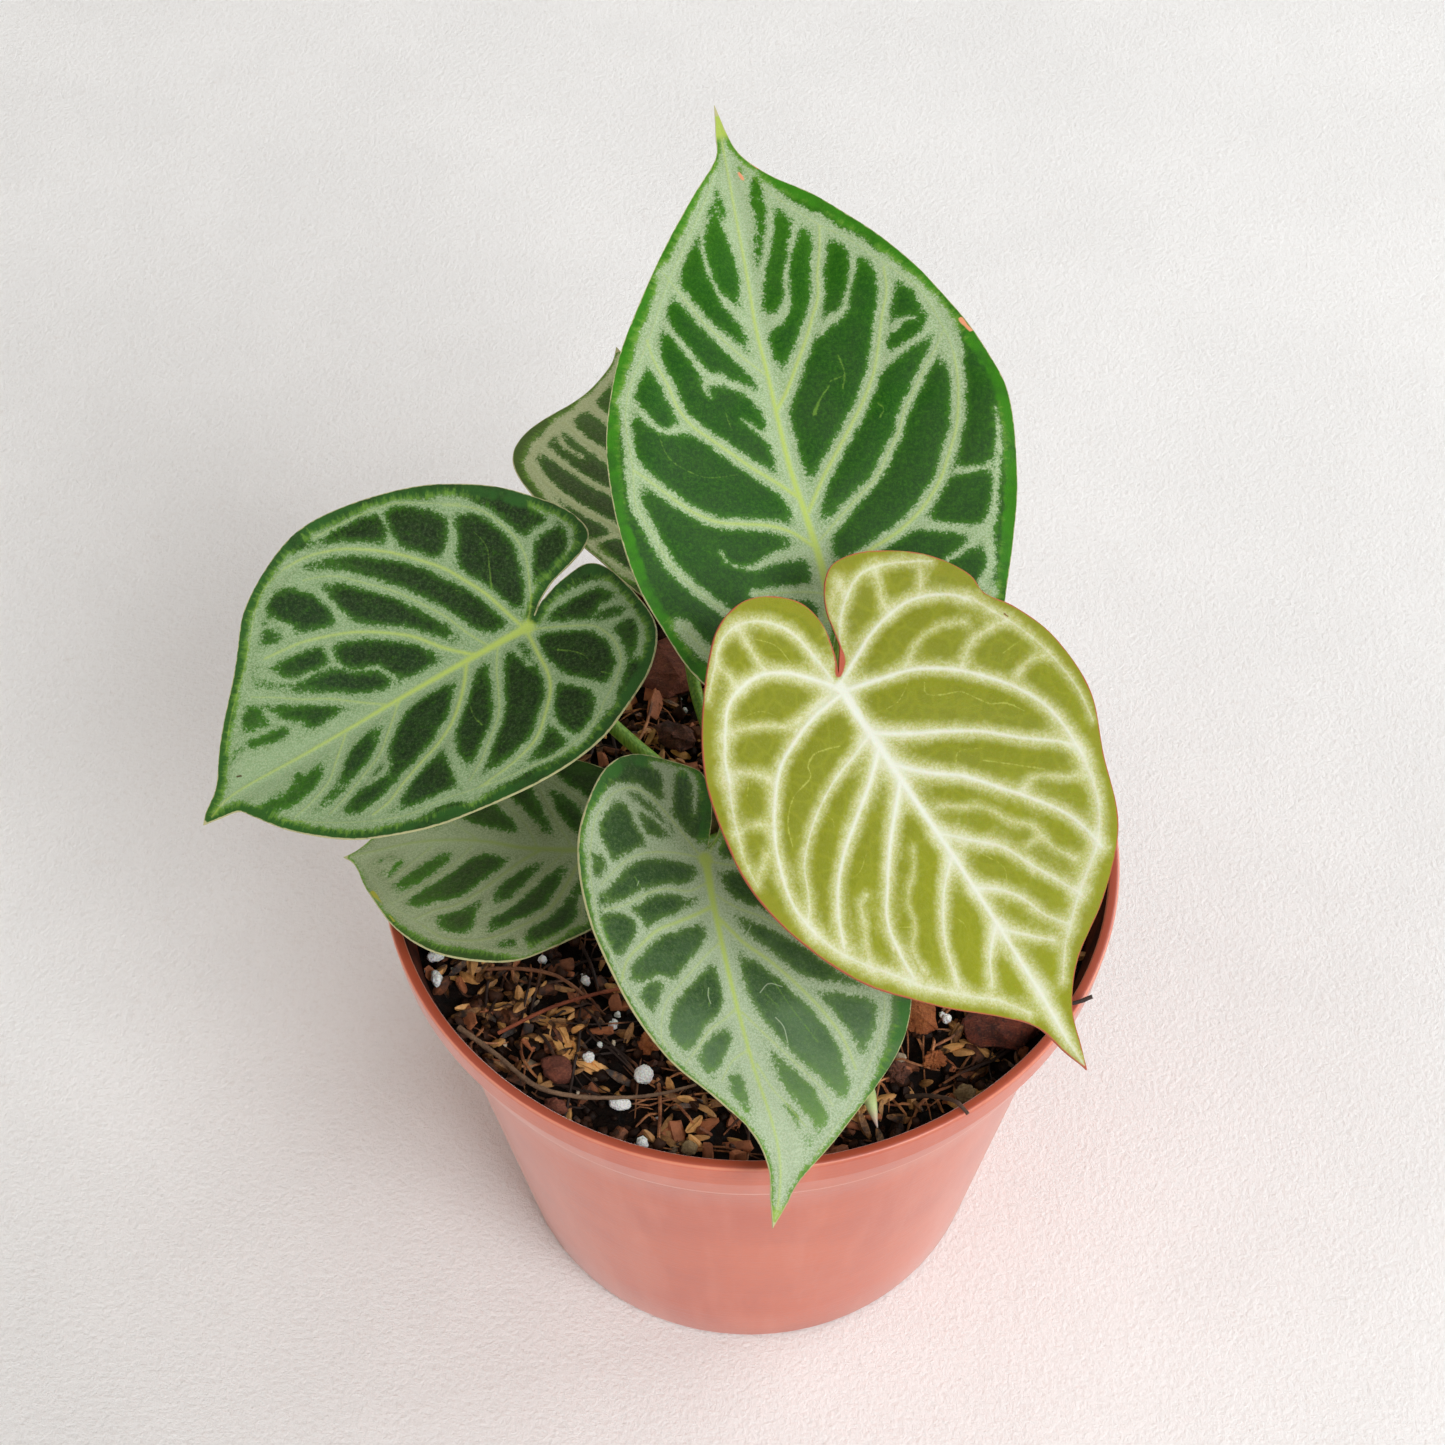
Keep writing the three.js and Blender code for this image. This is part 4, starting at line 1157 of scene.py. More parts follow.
@dataclass(frozen=True)
class PotFinish(Finish):
    """Moulded plastic: dusty clay red, with drifting tone and scuffs, a lighter lip edge that is partly wear
    and partly a painted highlight, and an inner wall darkened with painted shade.
    """

    name: str = "clay_red_plastic"
    first: Colour = srgb(195, 87, 57)
    second: Colour = srgb(209, 101, 66)
    clouds: float = 0.03
    grains: float = 0.9
    relief: float = 0.05
    gloss: float = 0.62
    pot: Pot = Pot()
    flow: Colour = srgb(216, 122, 96)
    top: Colour = srgb(158, 68, 46)
    # Painted shade: the near-black red-brown that the inner wall is darkened to.
    inside: Colour = srgb(50, 18, 9)
    # The lip edges' light tone: partly wear, partly a painted highlight.
    edge_wear_and_highlight: Colour = srgb(226, 152, 122)
    seam: Colour = srgb(240, 176, 150)
    scuff: Colour = srgb(238, 176, 156)
    dust: Colour = srgb(150, 96, 80)

    SEAM_DROP = 17.0

    def build(self) -> Material:
        """Build the material."""
        pot = self.pot
        graph, tone = self.start()
        split = graph.node("ShaderNodeSeparateXYZ")
        graph.feed(split.inputs[0], graph.place())
        height = split.outputs[2]

        def rise(low: float, high: float, start: float = 0.0, end: float = 1.0) -> Socket:
            """Go from start to end between two depths under the rim's top."""
            return graph.step(height, pot.height - low, pot.height - high, start, end)

        flow = graph.noise(graph.place((0.25, 0.25, 0.012)), 0.6, 3.0)
        body = graph.mix(graph.step(flow, 0.42, 0.7, 0.0, 0.35), tone["Colour"], self.flow)
        body = graph.tint(body, rise(0.25, 0.06), 0.9, self.top)
        # Painted shade: the inner wall, from the band's foot up to just under the rim's top, is darkened to
        # the inside colour.
        inward = graph.node("ShaderNodeVectorMath", operation="LENGTH")
        graph.feed(inward.inputs[0], graph.place((1, 1, 0)))
        slope = (pot.rim_radius - pot.band_foot_radius) / pot.band_height
        drop = graph.minus(height, pot.height)
        depth = graph.sum((inward.outputs["Value"], 1.0), (drop, -slope))
        middle = pot.rim_radius - 0.6 * pot.lip
        inside = graph.step(depth, middle - 0.3, middle, 1.0, 0.0)
        for share in (rise(self.SEAM_DROP, 16.5), rise(1.6, 0.4, 0.8, 0.0)):
            inside = graph.times(inside, share)
        body = graph.mix(inside, body, self.inside)
        # The lip's rounded edges just under its top go lighter in clouds: partly wear, partly a painted
        # highlight.
        edge_wear_and_highlight = graph.times(rise(1.0, 0.5), rise(0.3, 0.1, 1.0, 0.0))
        body = graph.tint(body, edge_wear_and_highlight, graph.step(tone["Cloud"], 0.3, 0.6, 0.15, 0.6), self.edge_wear_and_highlight)
        off_seam = graph.math("ABSOLUTE", graph.minus(height, pot.height - self.SEAM_DROP))
        body = graph.mix(graph.step(off_seam, 0.25, 0.7, 0.4, 0.0), body, self.seam)
        scuff = graph.step(graph.noise(graph.place((1, 1, 0.15)), 0.35, 6.0, 0.75), 0.66, 0.74)
        body = graph.tint(body, scuff, 0.3, self.scuff)
        foot = graph.step(height, 0.0, 7.0, 1.0, 0.0)
        dust = graph.times(foot, graph.step(tone["Grain"], 0.4, 0.7))
        body = graph.tint(body, dust, 0.3, self.dust)
        rings = graph.noise(graph.place((0.02, 0.02, 1)), 1.6, 2.0)
        relief = graph.sum((tone["Grain"], 0.5), (rings, 0.5), (scuff, 0.4))
        shine = graph.sum((tone["Grain"], 0.2), (scuff, 0.12), (1.0, 0.24))
        return self.close(graph, body, relief, Roughness=shine, Subsurface_Weight=0.08,
                          Subsurface_Scale=0.003, Sheen_Weight=0.45, Sheen_Roughness=0.26)


# The inner wall's dark, matt material: painted shade in peat-brown tones, for the wall that lies in the pot's
# shade above the mix.
INNER_WALL_SHADE = Finish("painted_shade_inner_wall", srgb(40, 15, 7), srgb(92, 40, 23), 0.12, 1.6, 0.85, 0.1, 0.15)


# Potting mix


@dataclass(frozen=True)
class Soil:
    """The lie of the potting mix: a low mound round the crown, gentle waves, and crumbs."""

    height: float = 106.0
    gap: float = 0.3
    edge: float = 70.3
    rough: float = 1.5
    mound: float = 1.6
    mound_reach: float = 22.0
    rings: int = 76
    sides: int = 210

    def from_crown(self, x: float, y: float) -> float:
        """Measure how far a place is from the crown's middle."""
        return math.hypot(x - CROWN[0], y - CROWN[1])

    def top(self, x: float, y: float) -> float:
        """Give the height of the mix at a place, without its crumbs."""
        return (self.height + self.mound * math.exp(-(self.from_crown(x, y) / self.mound_reach) ** 2)
                + 0.9 * math.sin(0.17 * x + 1.1) * math.cos(0.15 * y - 0.4)
                + 0.5 * math.sin(0.41 * x + 0.33 * y)
                + 0.4 * math.cos(0.52 * y - 0.29 * x + 2))

    def crumbled(self, x: float, y: float) -> float:
        """Give the height of the mix with its crumbs and cracks."""
        gaps = noise.voronoi(Vector((x * 0.32, y * 0.32, 4.0)))[0]
        small = noise.voronoi(Vector((x * 0.8, y * 0.8, 9.0)))[0]
        lumps = 1.5 * (0.5 - gaps[0]) + 0.6 * (0.45 - small[0])
        swell = 0.8 * noise.noise(Vector((x * 0.11, y * 0.11, 2.0)))
        return self.top(x, y) + self.rough * lumps + swell - 1.2

    def bed(self, pot: Pot, finish: Material) -> Piece:
        """Model the mix as one crumbly body that fills the pot."""
        foot = pot.floor + self.gap
        profile = [(pot.inner_radius(foot) - 1.0, foot)]
        profile += [(pot.inner_radius(z) - self.gap, z + 0.15) for z in (foot + 2, 40, 75, 99.3, 101.1, 104)]
        profile += [(self.edge * (1 - k / self.rings), self.height) for k in range(self.rings)]
        bed = turned_piece("mix_bed", profile, self.sides)
        places = vertices_of(bed.data)
        on_top = np.flatnonzero(places[:, 2] > self.height - 1)
        for k in on_top:
            places[k, 2] = self.crumbled(places[k, 0], places[k, 1])
        move_vertices(bed.data, places)
        smooth(bed, 60)
        return dress(bed, finish, ["soil"])


@dataclass
class Heap:
    """Many small copies of a few models, each with its own place, laid in one mesh."""

    name: str
    places: list[np.ndarray] = field(default_factory=list)
    faces: list[tuple[int, ...]] = field(default_factory=list)
    grains: list[np.ndarray] = field(default_factory=list)
    count: int = 0

    def lay(
        self, model: Model, turn: Matrix, size: Sequence[float], at: Sequence[float], grain: float,
    ) -> None:
        """Lay one copy of a model.

        Args:
            model: The model's vertices in millimetres and its faces.
            turn: The copy's rotation.
            size: The copy's scale along its own axes.
            at: Its place.
            grain: A number of 0 to 1 that its material varies by.
        """
        vertices, faces = model
        self.places.append((vertices * np.array(size)) @ np.array(turn.transposed()) + np.array(at))
        self.faces.extend(tuple(k + self.count for k in face) for face in faces)
        self.grains.append(np.full(len(vertices), grain))
        self.count += len(vertices)

    def build(self, finish: Material, slot: str, angle: float) -> Piece:
        """Join the copies in one piece."""
        piece = mesh_piece(self.name, np.vstack(self.places), self.faces)
        store(piece.data, "grain", np.concatenate(self.grains))
        smooth(piece, angle)
        return dress(piece, finish)


def model_of(piece: Piece) -> Model:
    """Take a piece's vertices in millimetres and its faces, and remove the piece."""
    model = (vertices_of(piece.data), [tuple(face.vertices) for face in piece.data.polygons])
    bpy.data.objects.remove(piece)
    return model


def husk_model() -> Model:
    """Model a rice husk: a slim boat, keeled and ribbed lengthwise, with a cleft where it split."""
    clear_selection()
    bpy.ops.mesh.primitive_uv_sphere_add(segments=8, ring_count=6, radius=MM, rotation=(0, math.pi / 2, 0))
    piece = adopt("husk")
    places = vertices_of(piece.data)
    along = places[:, 0]
    around = np.arctan2(places[:, 2], places[:, 1])
    thin = 1 - 0.16 * np.cos(around * 4) - 0.4 * np.exp(-((around - math.pi / 2) / 0.4) ** 2)
    girth = np.maximum(np.sqrt(1 - np.clip(along, -0.999, 0.999) ** 2), 0.04)
    slim = np.sqrt(np.maximum(1 - np.abs(along) ** 1.4, 0)) / girth
    places[:, 1] *= thin * slim * 0.3
    places[:, 2] *= thin * slim * 0.27
    places[:, 2] += 0.1 * along ** 2
    move_vertices(piece.data, places)
    return model_of(piece)


def shard_model(seed: int) -> Model:
    """Model a split chip of bark: a block with its corners moved, cut across and bevelled."""
    draw = random.Random(seed)
    clear_selection()
    bpy.ops.mesh.primitive_cube_add(size=2 * MM)
    piece = adopt("shard")
    edit_whole(piece)
    for _ in range(3):
        across = Vector((draw.uniform(-1, 1), draw.uniform(-1, 1), draw.uniform(-0.5, 0.5))).normalized()
        bpy.ops.mesh.bisect(plane_co=across * 0.85 * MM, plane_no=across, use_fill=True, clear_outer=True)
        bpy.ops.mesh.select_all(action="SELECT")
    bpy.ops.mesh.bevel(offset=0.16 * MM, segments=1)
    bpy.ops.object.mode_set(mode="OBJECT")
    places = vertices_of(piece.data)
    places += np.array([[draw.uniform(-0.14, 0.14) for _ in range(3)] for _ in places])
    move_vertices(piece.data, places)
    return model_of(piece)


def crumb_model(seed: int) -> Model:
    """Model a crumb of peat: a small knobbly ball."""
    clear_selection()
    bpy.ops.mesh.primitive_uv_sphere_add(segments=7, ring_count=5, radius=MM)
    piece = adopt("crumb")
    places = vertices_of(piece.data)
    push = [1 + 0.55 * noise.noise(Vector(place) * 1.3 + Vector((seed * 7.0, 0, 0))) for place in places]
    move_vertices(piece.data, places * np.array(push)[:, None])
    return model_of(piece)


DRAWN_FIBRES = (
    "-52.3,-22.1 -53.2,-27 -53.6,-32.2", "-34.9,-15 -32.7,-21 -30.9,-27", "-42.6,-22.1 -43.2,-27 -44.4,-32.8",
    "57.3,-36.3 48.8,-43.8 36.7,-49.4", "-18.7,-48 -18.2,-55 -18.5,-63.4", "-43,-37 -40,-42 -37.6,-47")
DRAWN_GRITS = ((-33.4, -25.8, 1.0), (-21.4, -63.9, 1.2), (38, -34.5, 0.7), (-30.2, -40.8, 0.6))


@dataclass(frozen=True)
class Litter:
    """What lies loose all over the mix: crumbs, husks, chips and fibres, in seeded random places."""

    soil: Soil
    seed: int = 2024
    crumbs: int = 2200
    husks: int = 1050
    chips: int = 520
    pale: int = 90
    fibres: int = 520
    grits: int = 50
    clusters: int = 75

    REACH = 69.2
    INNER_REACH = 66.0
    CLUSTER_REACH = 68.0
    CLUSTER_SPREAD = 3.6
    CLEARANCE = 11.0
    FIBRE_REACH = 69.5
    FIBRE_STEPS = 8
    TURN = 6.3

    def spot(self, draw: random.Random, reach: float = REACH) -> tuple[float, float]:
        """Draw a place on the mix, clear of the crown."""
        while True:
            radius = reach * math.sqrt(draw.random())
            turn = draw.uniform(0, 2 * math.pi)
            x, y = radius * math.cos(turn), radius * math.sin(turn)
            if self.soil.from_crown(x, y) > self.CLEARANCE:
                return x, y

    def near(self, draw: random.Random, centre: tuple[float, float]) -> tuple[float, float]:
        """Draw a place near the middle of a cluster, or anywhere if that falls off the mix."""
        x, y = (draw.gauss(middle, self.CLUSTER_SPREAD) for middle in centre)
        if math.hypot(x, y) > self.CLUSTER_REACH or self.soil.from_crown(x, y) < self.CLEARANCE:
            return self.spot(draw)
        return x, y

    def on_mix(self, x: float, y: float, lift: float) -> tuple[float, float, float]:
        """Give the place that lies so high above the crumbled mix."""
        return x, y, self.soil.crumbled(x, y) + lift

    def any_turn(self, draw: random.Random) -> Matrix:
        """Draw a turn about all three axes."""
        return Euler([draw.uniform(0, self.TURN) for _ in range(3)]).to_matrix()

    def lay_crumbs(self, draw: random.Random, models: Sequence[Model]) -> Heap:
        """Lay the crumbs of peat."""
        heap = Heap("mix_crumbs")
        for _ in range(self.crumbs):
            x, y = self.spot(draw)
            size = draw.uniform(0.45, 1.6) ** 1.2
            heap.lay(draw.choice(models), self.any_turn(draw),
                     (size, size * draw.uniform(0.6, 1), size * draw.uniform(0.5, 0.9)),
                     self.on_mix(x, y, 0.25 * size), draw.random())
        return heap

    def lay_husks(self, draw: random.Random, centres: Sequence[tuple[float, float]]) -> Heap:
        """Lay the rice husks, two in three of them in clusters."""
        heap = Heap("mix_husks")
        husk = husk_model()
        for k in range(self.husks):
            x, y = self.near(draw, draw.choice(centres)) if k % 3 else self.spot(draw)
            size = draw.uniform(2.2, 3.5)
            tilt = draw.gauss(0, 0.5)
            turn = Euler((draw.uniform(0, self.TURN), tilt, draw.uniform(0, self.TURN))).to_matrix()
            heap.lay(husk, turn, (size, size * draw.uniform(0.8, 1.1), size),
                     self.on_mix(x, y, 0.5 + 0.4 * size * abs(math.sin(tilt))), draw.random() ** 1.4)
        return heap

    def lay_chips(self, draw: random.Random, name: str, count: int, sizes: tuple[float, float],
                  models: Sequence[Model]) -> Heap:
        """Lay flat chips of bark, of sizes between two."""
        heap = Heap(name)
        for _ in range(count):
            x, y = self.spot(draw)
            size = draw.uniform(*sizes)
            turn = Euler((draw.gauss(0, 0.45), draw.gauss(0, 0.45), draw.uniform(0, self.TURN))).to_matrix()
            heap.lay(draw.choice(models), turn, (size, size * draw.uniform(0.25, 0.6), size * 0.3),
                     self.on_mix(x, y, 0.5), draw.random())
        return heap

    def lay_grits(self, draw: random.Random, models: Sequence[Model]) -> Heap:
        """Lay the grains of perlite, and the drawn ones among them."""
        heap = Heap("mix_grit")
        for _ in range(self.grits):
            x, y = self.spot(draw)
            size = draw.uniform(0.35, 1.1)
            heap.lay(draw.choice(models), self.any_turn(draw), (size, size, size * 0.85),
                     self.on_mix(x, y, 0.5 * size), draw.random())
        for x, y, size in DRAWN_GRITS:
            place = (x, y, self.soil.top(x, y) + size)
            heap.lay(models[0], Matrix.Identity(3), (size, size, size), place, 0.5)
        return heap

    def drawn_fibre(self, text: str) -> Route:
        """Lay one drawn fibre in an arch over the mix."""
        line = curve_points(path(text), 1.2)
        last = len(line) - 1
        points = [(x, y, self.soil.crumbled(x, y) * 0.3 + self.soil.top(x, y) * 0.7
                   + 1.5 * math.sin(math.pi * k / last)) for k, (x, y) in enumerate(line)]
        return Route(points, [0.4 - 0.1 * k / last for k in range(last + 1)])

    def loose_fibre(self, draw: random.Random, spans: tuple[float, float]) -> Route:
        """Lay a random fibre, bent and arched, of a length between two."""
        x, y = self.spot(draw, self.INNER_REACH)
        heading, span = draw.uniform(0, self.TURN), draw.uniform(*spans)
        bend, lift = draw.gauss(0, 0.5), draw.uniform(0.2, 2.4)
        shares = [k / self.FIBRE_STEPS for k in range(self.FIBRE_STEPS + 1)]
        points = []
        for share in shares:
            reach = span * (share - 0.5)
            px = x + reach * math.cos(heading + bend * (share - 0.5))
            py = y + reach * math.sin(heading + bend * (share - 0.5))
            squeeze = min(1.0, self.FIBRE_REACH / max(math.hypot(px, py), 1e-6))
            px, py = px * squeeze, py * squeeze
            points.append((px, py, self.soil.crumbled(px, py) + 0.3 + lift * math.sin(math.pi * share)))
        thick = draw.uniform(0.12, 0.36)
        return Route(points, [thick * (1 - 0.5 * abs(2 * share - 1) ** 3) for share in shares])

    def build(self) -> list[Piece]:
        """Lay every kind of litter and join each kind in one piece."""
        draw = random.Random(self.seed)
        crumbs = [crumb_model(k) for k in range(4)]
        shards = [shard_model(30 + k) for k in range(6)]
        centres = [self.spot(draw, self.INNER_REACH) for _ in range(self.clusters)]
        heaps = [
            self.lay_crumbs(draw, crumbs),
            self.lay_husks(draw, centres),
            self.lay_chips(draw, "mix_chips", self.chips, (0.9, 3.2), shards),
            self.lay_chips(draw, "mix_pale_chips", self.pale, (0.8, 2.2), shards),
            self.lay_grits(draw, crumbs),
        ]
        routes = [self.drawn_fibre(text) for text in DRAWN_FIBRES]
        routes += [self.loose_fibre(draw, (4, 16) if k % 6 else (20, 42)) for k in range(self.fibres)]
        fibres = strands("mix_fibres", routes, 4)
        pieces = [heap.build(finish.build(), slot, angle)
                  for heap, (finish, slot, angle) in zip(heaps, HEAP_LOOKS)]
        smooth(fibres, 60)
        pieces.append(dress(fibres, FibreFinish().build()))
        return pieces


@dataclass(frozen=True)
class DampFinish(Finish):
    """A damp woody finish: each copy's grain value, 0 to 1, takes its tone from the first to the second."""

    clouds: float = 0.5
    grains: float = 3.0
    relief: float = 0.18

    def build(self) -> Material:
        """Build the material."""
        graph, tone = self.start()
        grain = graph.read("grain")
        base = graph.mix(graph.step(grain, 0.1, 0.95), self.first, self.second)
        base = graph.mix(0.35, base, tone["Colour"])
        wet = graph.use(damp_crust(), Base=base, Amount=graph.minus(0.55, grain)).outputs
        shine = graph.sum((wet["Roughness"], 0.6), (1.0, self.roughness - 0.4))
        return self.close(graph, wet["Colour"], tone["Grain"], Roughness=shine)


@dataclass(frozen=True)
class PerliteFinish:
    """Perlite: chalky white with pits and a little clinging peat."""

    pit: Colour = srgb(230, 229, 227)
    chalk: Colour = srgb(252, 251, 249)
    peat: Colour = srgb(150, 128, 108)

    def build(self) -> Material:
        """Build the material."""
        graph = Surface("perlite_grain")
        place = graph.place()
        pits = graph.cells(place, 1.9)
        darken = graph.step(graph.noise(place, 0.7, 4.0, 0.7), 0.6, 0.72)
        base = graph.tint(graph.mix(graph.step(pits, 0.1, 0.5), self.pit, self.chalk), darken, 0.3, self.peat)
        return graph.finish(Base_Color=base, Roughness=0.85, Normal=graph.bump(pits, 0.35),
                            Subsurface_Weight=0.15, Subsurface_Scale=0.001)


@dataclass(frozen=True)
class FibreFinish(Finish):
    """The loose fibres: red-brown coir, dark in patches."""

    name: str = "coir_fibre"
    first: Colour = srgb(118, 66, 42)
    second: Colour = srgb(200, 134, 88)
    dark: Colour = srgb(48, 32, 26)
    gloss: float = 0.3

    def build(self) -> Material:
        """Build the material."""
        graph, tone = self.start()
        patch = graph.step(graph.noise(graph.place(), 0.06, 2.0), 0.42, 0.58)
        return self.close(graph, graph.mix(patch, self.dark, tone["Colour"]), tone["Grain"])


@dataclass(frozen=True)
class BedFinish(Finish):
    """The bed: damp peat painted near-black, darker than the peat itself, as painted shade in the gaps
    between the loose pieces, with brown crumbs and wet glints.
    """

    name: str = "damp_peat_painted_shade"
    # Near-black tones: the peat's dark brown deepened into painted shade.
    first: Colour = srgb(6, 4, 3)
    second: Colour = srgb(30, 18, 13)
    clouds: float = 0.4
    grains: float = 2.0
    relief: float = 0.7
    gloss: float = 0.12
    crumb: Colour = srgb(96, 62, 38)

    def build(self) -> Material:
        """Build the material."""
        graph, tone = self.start()
        speck = graph.step(graph.cells(graph.place(), 1.1), 0.0, 0.22, 1.0, 0.0)
        height = graph.sum((tone["Cloud"], 1.0), (tone["Grain"], 0.5))
        return self.close(graph, graph.tint(tone["Colour"], speck, 0.3, self.crumb), height,
                          Roughness=graph.step(tone["Cloud"], 0.35, 0.65, 0.5, 0.9))


# Each heap's finish, slot and smoothing angle, in the order in which the heaps are laid.
HEAP_LOOKS = (
    (DampFinish("peat_crumb", srgb(10, 6, 5), srgb(70, 42, 28), roughness=0.45, gloss=0.15),
     "potting_mix", 60),
    (DampFinish("rice_husk", srgb(92, 48, 24), srgb(252, 186, 112), roughness=0.42), "potting_mix", 45),
    (DampFinish("bark_chip", srgb(44, 24, 16), srgb(196, 118, 78), roughness=0.55, gloss=0.4),
     "potting_mix", 30),
    (DampFinish("pale_chip", srgb(120, 92, 66), srgb(236, 216, 188), roughness=0.65), "potting_mix", 30),
    (PerliteFinish(), "perlite", 60),
)


# Loose pieces that have nodes of their own


@dataclass(frozen=True)
class LumpFinish(Finish):
    """A lump of bark, coir or stone: layered, a little fibrous, with damp peat on it."""

    clouds: float = 0.22
    grains: float = 2.4
    relief: float = 0.9
    fibre: Colour = srgb(176, 112, 78)

    def build(self) -> Material:
        """Build the material."""
        graph, tone = self.start()
        layers = graph.noise(graph.place((1, 1, 0.35)), 1.4, 5.0, 0.7)
        base = graph.mix(graph.step(layers, 0.52, 0.66), tone["Colour"], self.first)
        fibre = graph.step(graph.noise(graph.place((0.25, 2.2, 2.2)), 1.2, 2.0), 0.56, 0.68)
        wet = graph.use(damp_crust(), Base=graph.tint(base, fibre, 0.3, self.fibre), Amount=0.12).outputs
        height = graph.sum((layers, 1.0), (tone["Grain"], 0.4))
        shine = graph.sum((wet["Roughness"], 1.0), (1.0, 0.08))
        return self.close(graph, wet["Colour"], height, Roughness=shine)


class Stuff(Enum):
    """What a loose lump is made of, as its finish."""

    COIR_CHIP = LumpFinish("coir_chip", srgb(104, 52, 38), srgb(150, 82, 60))
    RED_BARK = LumpFinish("red_bark", srgb(58, 26, 20), srgb(138, 62, 40))
    DARK_BARK = LumpFinish("dark_bark", srgb(58, 34, 26), srgb(116, 66, 46))
    ORANGE_CHIP = LumpFinish("orange_chip", srgb(150, 76, 34), srgb(196, 116, 62))
    PALE_STONE = LumpFinish("pale_stone", srgb(150, 120, 84), srgb(206, 178, 132))
    PERLITE = PerliteFinish()


@dataclass(frozen=True)
class Lumps:
    """The loose lumps on the mix, each worked up from its own solid."""

    bark: tuple[Stuff, ...] = (
        Stuff.RED_BARK, Stuff.ORANGE_CHIP, Stuff.ORANGE_CHIP, Stuff.DARK_BARK, Stuff.COIR_CHIP,
        Stuff.COIR_CHIP, Stuff.ORANGE_CHIP, Stuff.COIR_CHIP, Stuff.DARK_BARK, Stuff.PALE_STONE,
        Stuff.DARK_BARK, Stuff.COIR_CHIP, Stuff.DARK_BARK, Stuff.COIR_CHIP)
    perlite: int = 9
    pebbles: tuple[int, ...] = (5, 6)
    tan_grains: tuple[int, ...] = (7,)

    WELD = 0.01
    BEVEL = 0.35
    SPAN = 2.6

    def work_up(self, node: str, name: str, rough: float, round_off: bool, seed: int) -> Piece:
        """Copy a node's solid, refine it and roughen it.

        Args:
            node: The node that the piece stands for.
            name: The piece's name.
            rough: How far its surface moves, in millimetres.
            round_off: Whether its corners are rounded like a grain's, not kept like a chip's.
            seed: What its roughness starts from.

        Returns:
            The piece.
        """
        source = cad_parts[node]
        piece = bpy.data.objects.new(name, source.data.copy())
        piece.data.materials.clear()
        bpy.context.scene.collection.objects.link(piece)
        edit_whole(piece)
        bpy.ops.mesh.remove_doubles(threshold=self.WELD * MM)
        bpy.ops.mesh.normals_make_consistent(inside=False)
        if not round_off:
            bpy.ops.mesh.bevel(offset=self.BEVEL * MM, segments=2)
        bpy.ops.mesh.subdivide(number_cuts=2 if round_off else 3)
        bpy.ops.object.mode_set(mode="OBJECT")
        if round_off:
            apply_modifier(piece, "SMOOTH", factor=0.8, iterations=5)
            apply_modifier(piece, "SUBSURF", levels=1, render_levels=1)
        places = vertices_of(piece.data)
        centre = places.mean(0)
        spread = np.ptp(places, axis=0).max()
        for k, place in enumerate(places):
            spot = Vector(place) * (self.SPAN / spread) + Vector((seed * 3.7, 0, 0))
            push = noise.fractal(spot * 1.6, 0.9, 2.2, 4) + 0.6 * noise.noise(spot * 7.0)
            out = (place - centre) / max(np.linalg.norm(place - centre), 1e-6)
            places[k] = place + out * push * rough
        move_vertices(piece.data, places)
        smooth(piece, 50 if round_off else 26)
        return piece

    def build(self) -> list[Piece]:
        """Work up every lump and dress it."""
        finishes = {stuff: stuff.value.build() for stuff in Stuff}
        pieces = []
        for k, stuff in enumerate(self.bark, 1):
            node = f"bark_{k}"
            rounded = stuff is Stuff.PALE_STONE or k in self.pebbles
            piece = self.work_up(node, f"chunk_{k}", 0.4 if rounded else 0.8, rounded, k)
            pieces.append(dress(piece, finishes[stuff], [node]))
        for k in range(1, self.perlite + 1):
            node = f"perlite_{k}"
            piece = self.work_up(node, f"grain_{k}", 0.2, True, 40 + k)
            stuff = Stuff.PALE_STONE if k in self.tan_grains else Stuff.PERLITE
            pieces.append(dress(piece, finishes[stuff], [node]))
        return pieces


@dataclass(frozen=True)
class Twig:
    """A twig or a coir fibre that lies on the mix."""

    node: str
    points: Points
    radius: tuple[float, float]
    tone: tuple[Colour, Colour]
    knots: int = 3

    SWELL = 0.22
    KNOT_REACH = 0.025
    ROUGH_SCALE = 1.1
    ROUGH = 0.16

    def build(self) -> Piece:
        """Sweep the twig with its knots and a roughened skin, and dress it."""
        line = curve_points(self.points, 0.9)
        draw = random.Random(len(self.node) * 31 + len(line))
        knots = [draw.uniform(0.1, 0.9) for _ in range(self.knots)]
        radii = []
        for k in range(len(line)):
            t = k / (len(line) - 1)
            swell = sum(self.SWELL * math.exp(-((t - knot) / self.KNOT_REACH) ** 2) for knot in knots)
            radius = self.radius[0] + (self.radius[1] - self.radius[0]) * t
            radii.append(radius * (1 + swell + draw.uniform(-0.07, 0.07)))
        name = f"{self.node}_bark"
        piece = strands(name, [Route(line, radii)], 12)
        places = vertices_of(piece.data)
        rough = np.array([tuple(noise.noise_vector(Vector(place) * self.ROUGH_SCALE)) for place in places])
        move_vertices(piece.data, places + self.ROUGH * self.radius[0] * rough)
        smooth(piece, 60)
        finish = Finish(name, *self.tone, clouds=0.16, grains=3.4, roughness=0.72, relief=0.25)
        return dress(piece, finish.build(), [self.node])


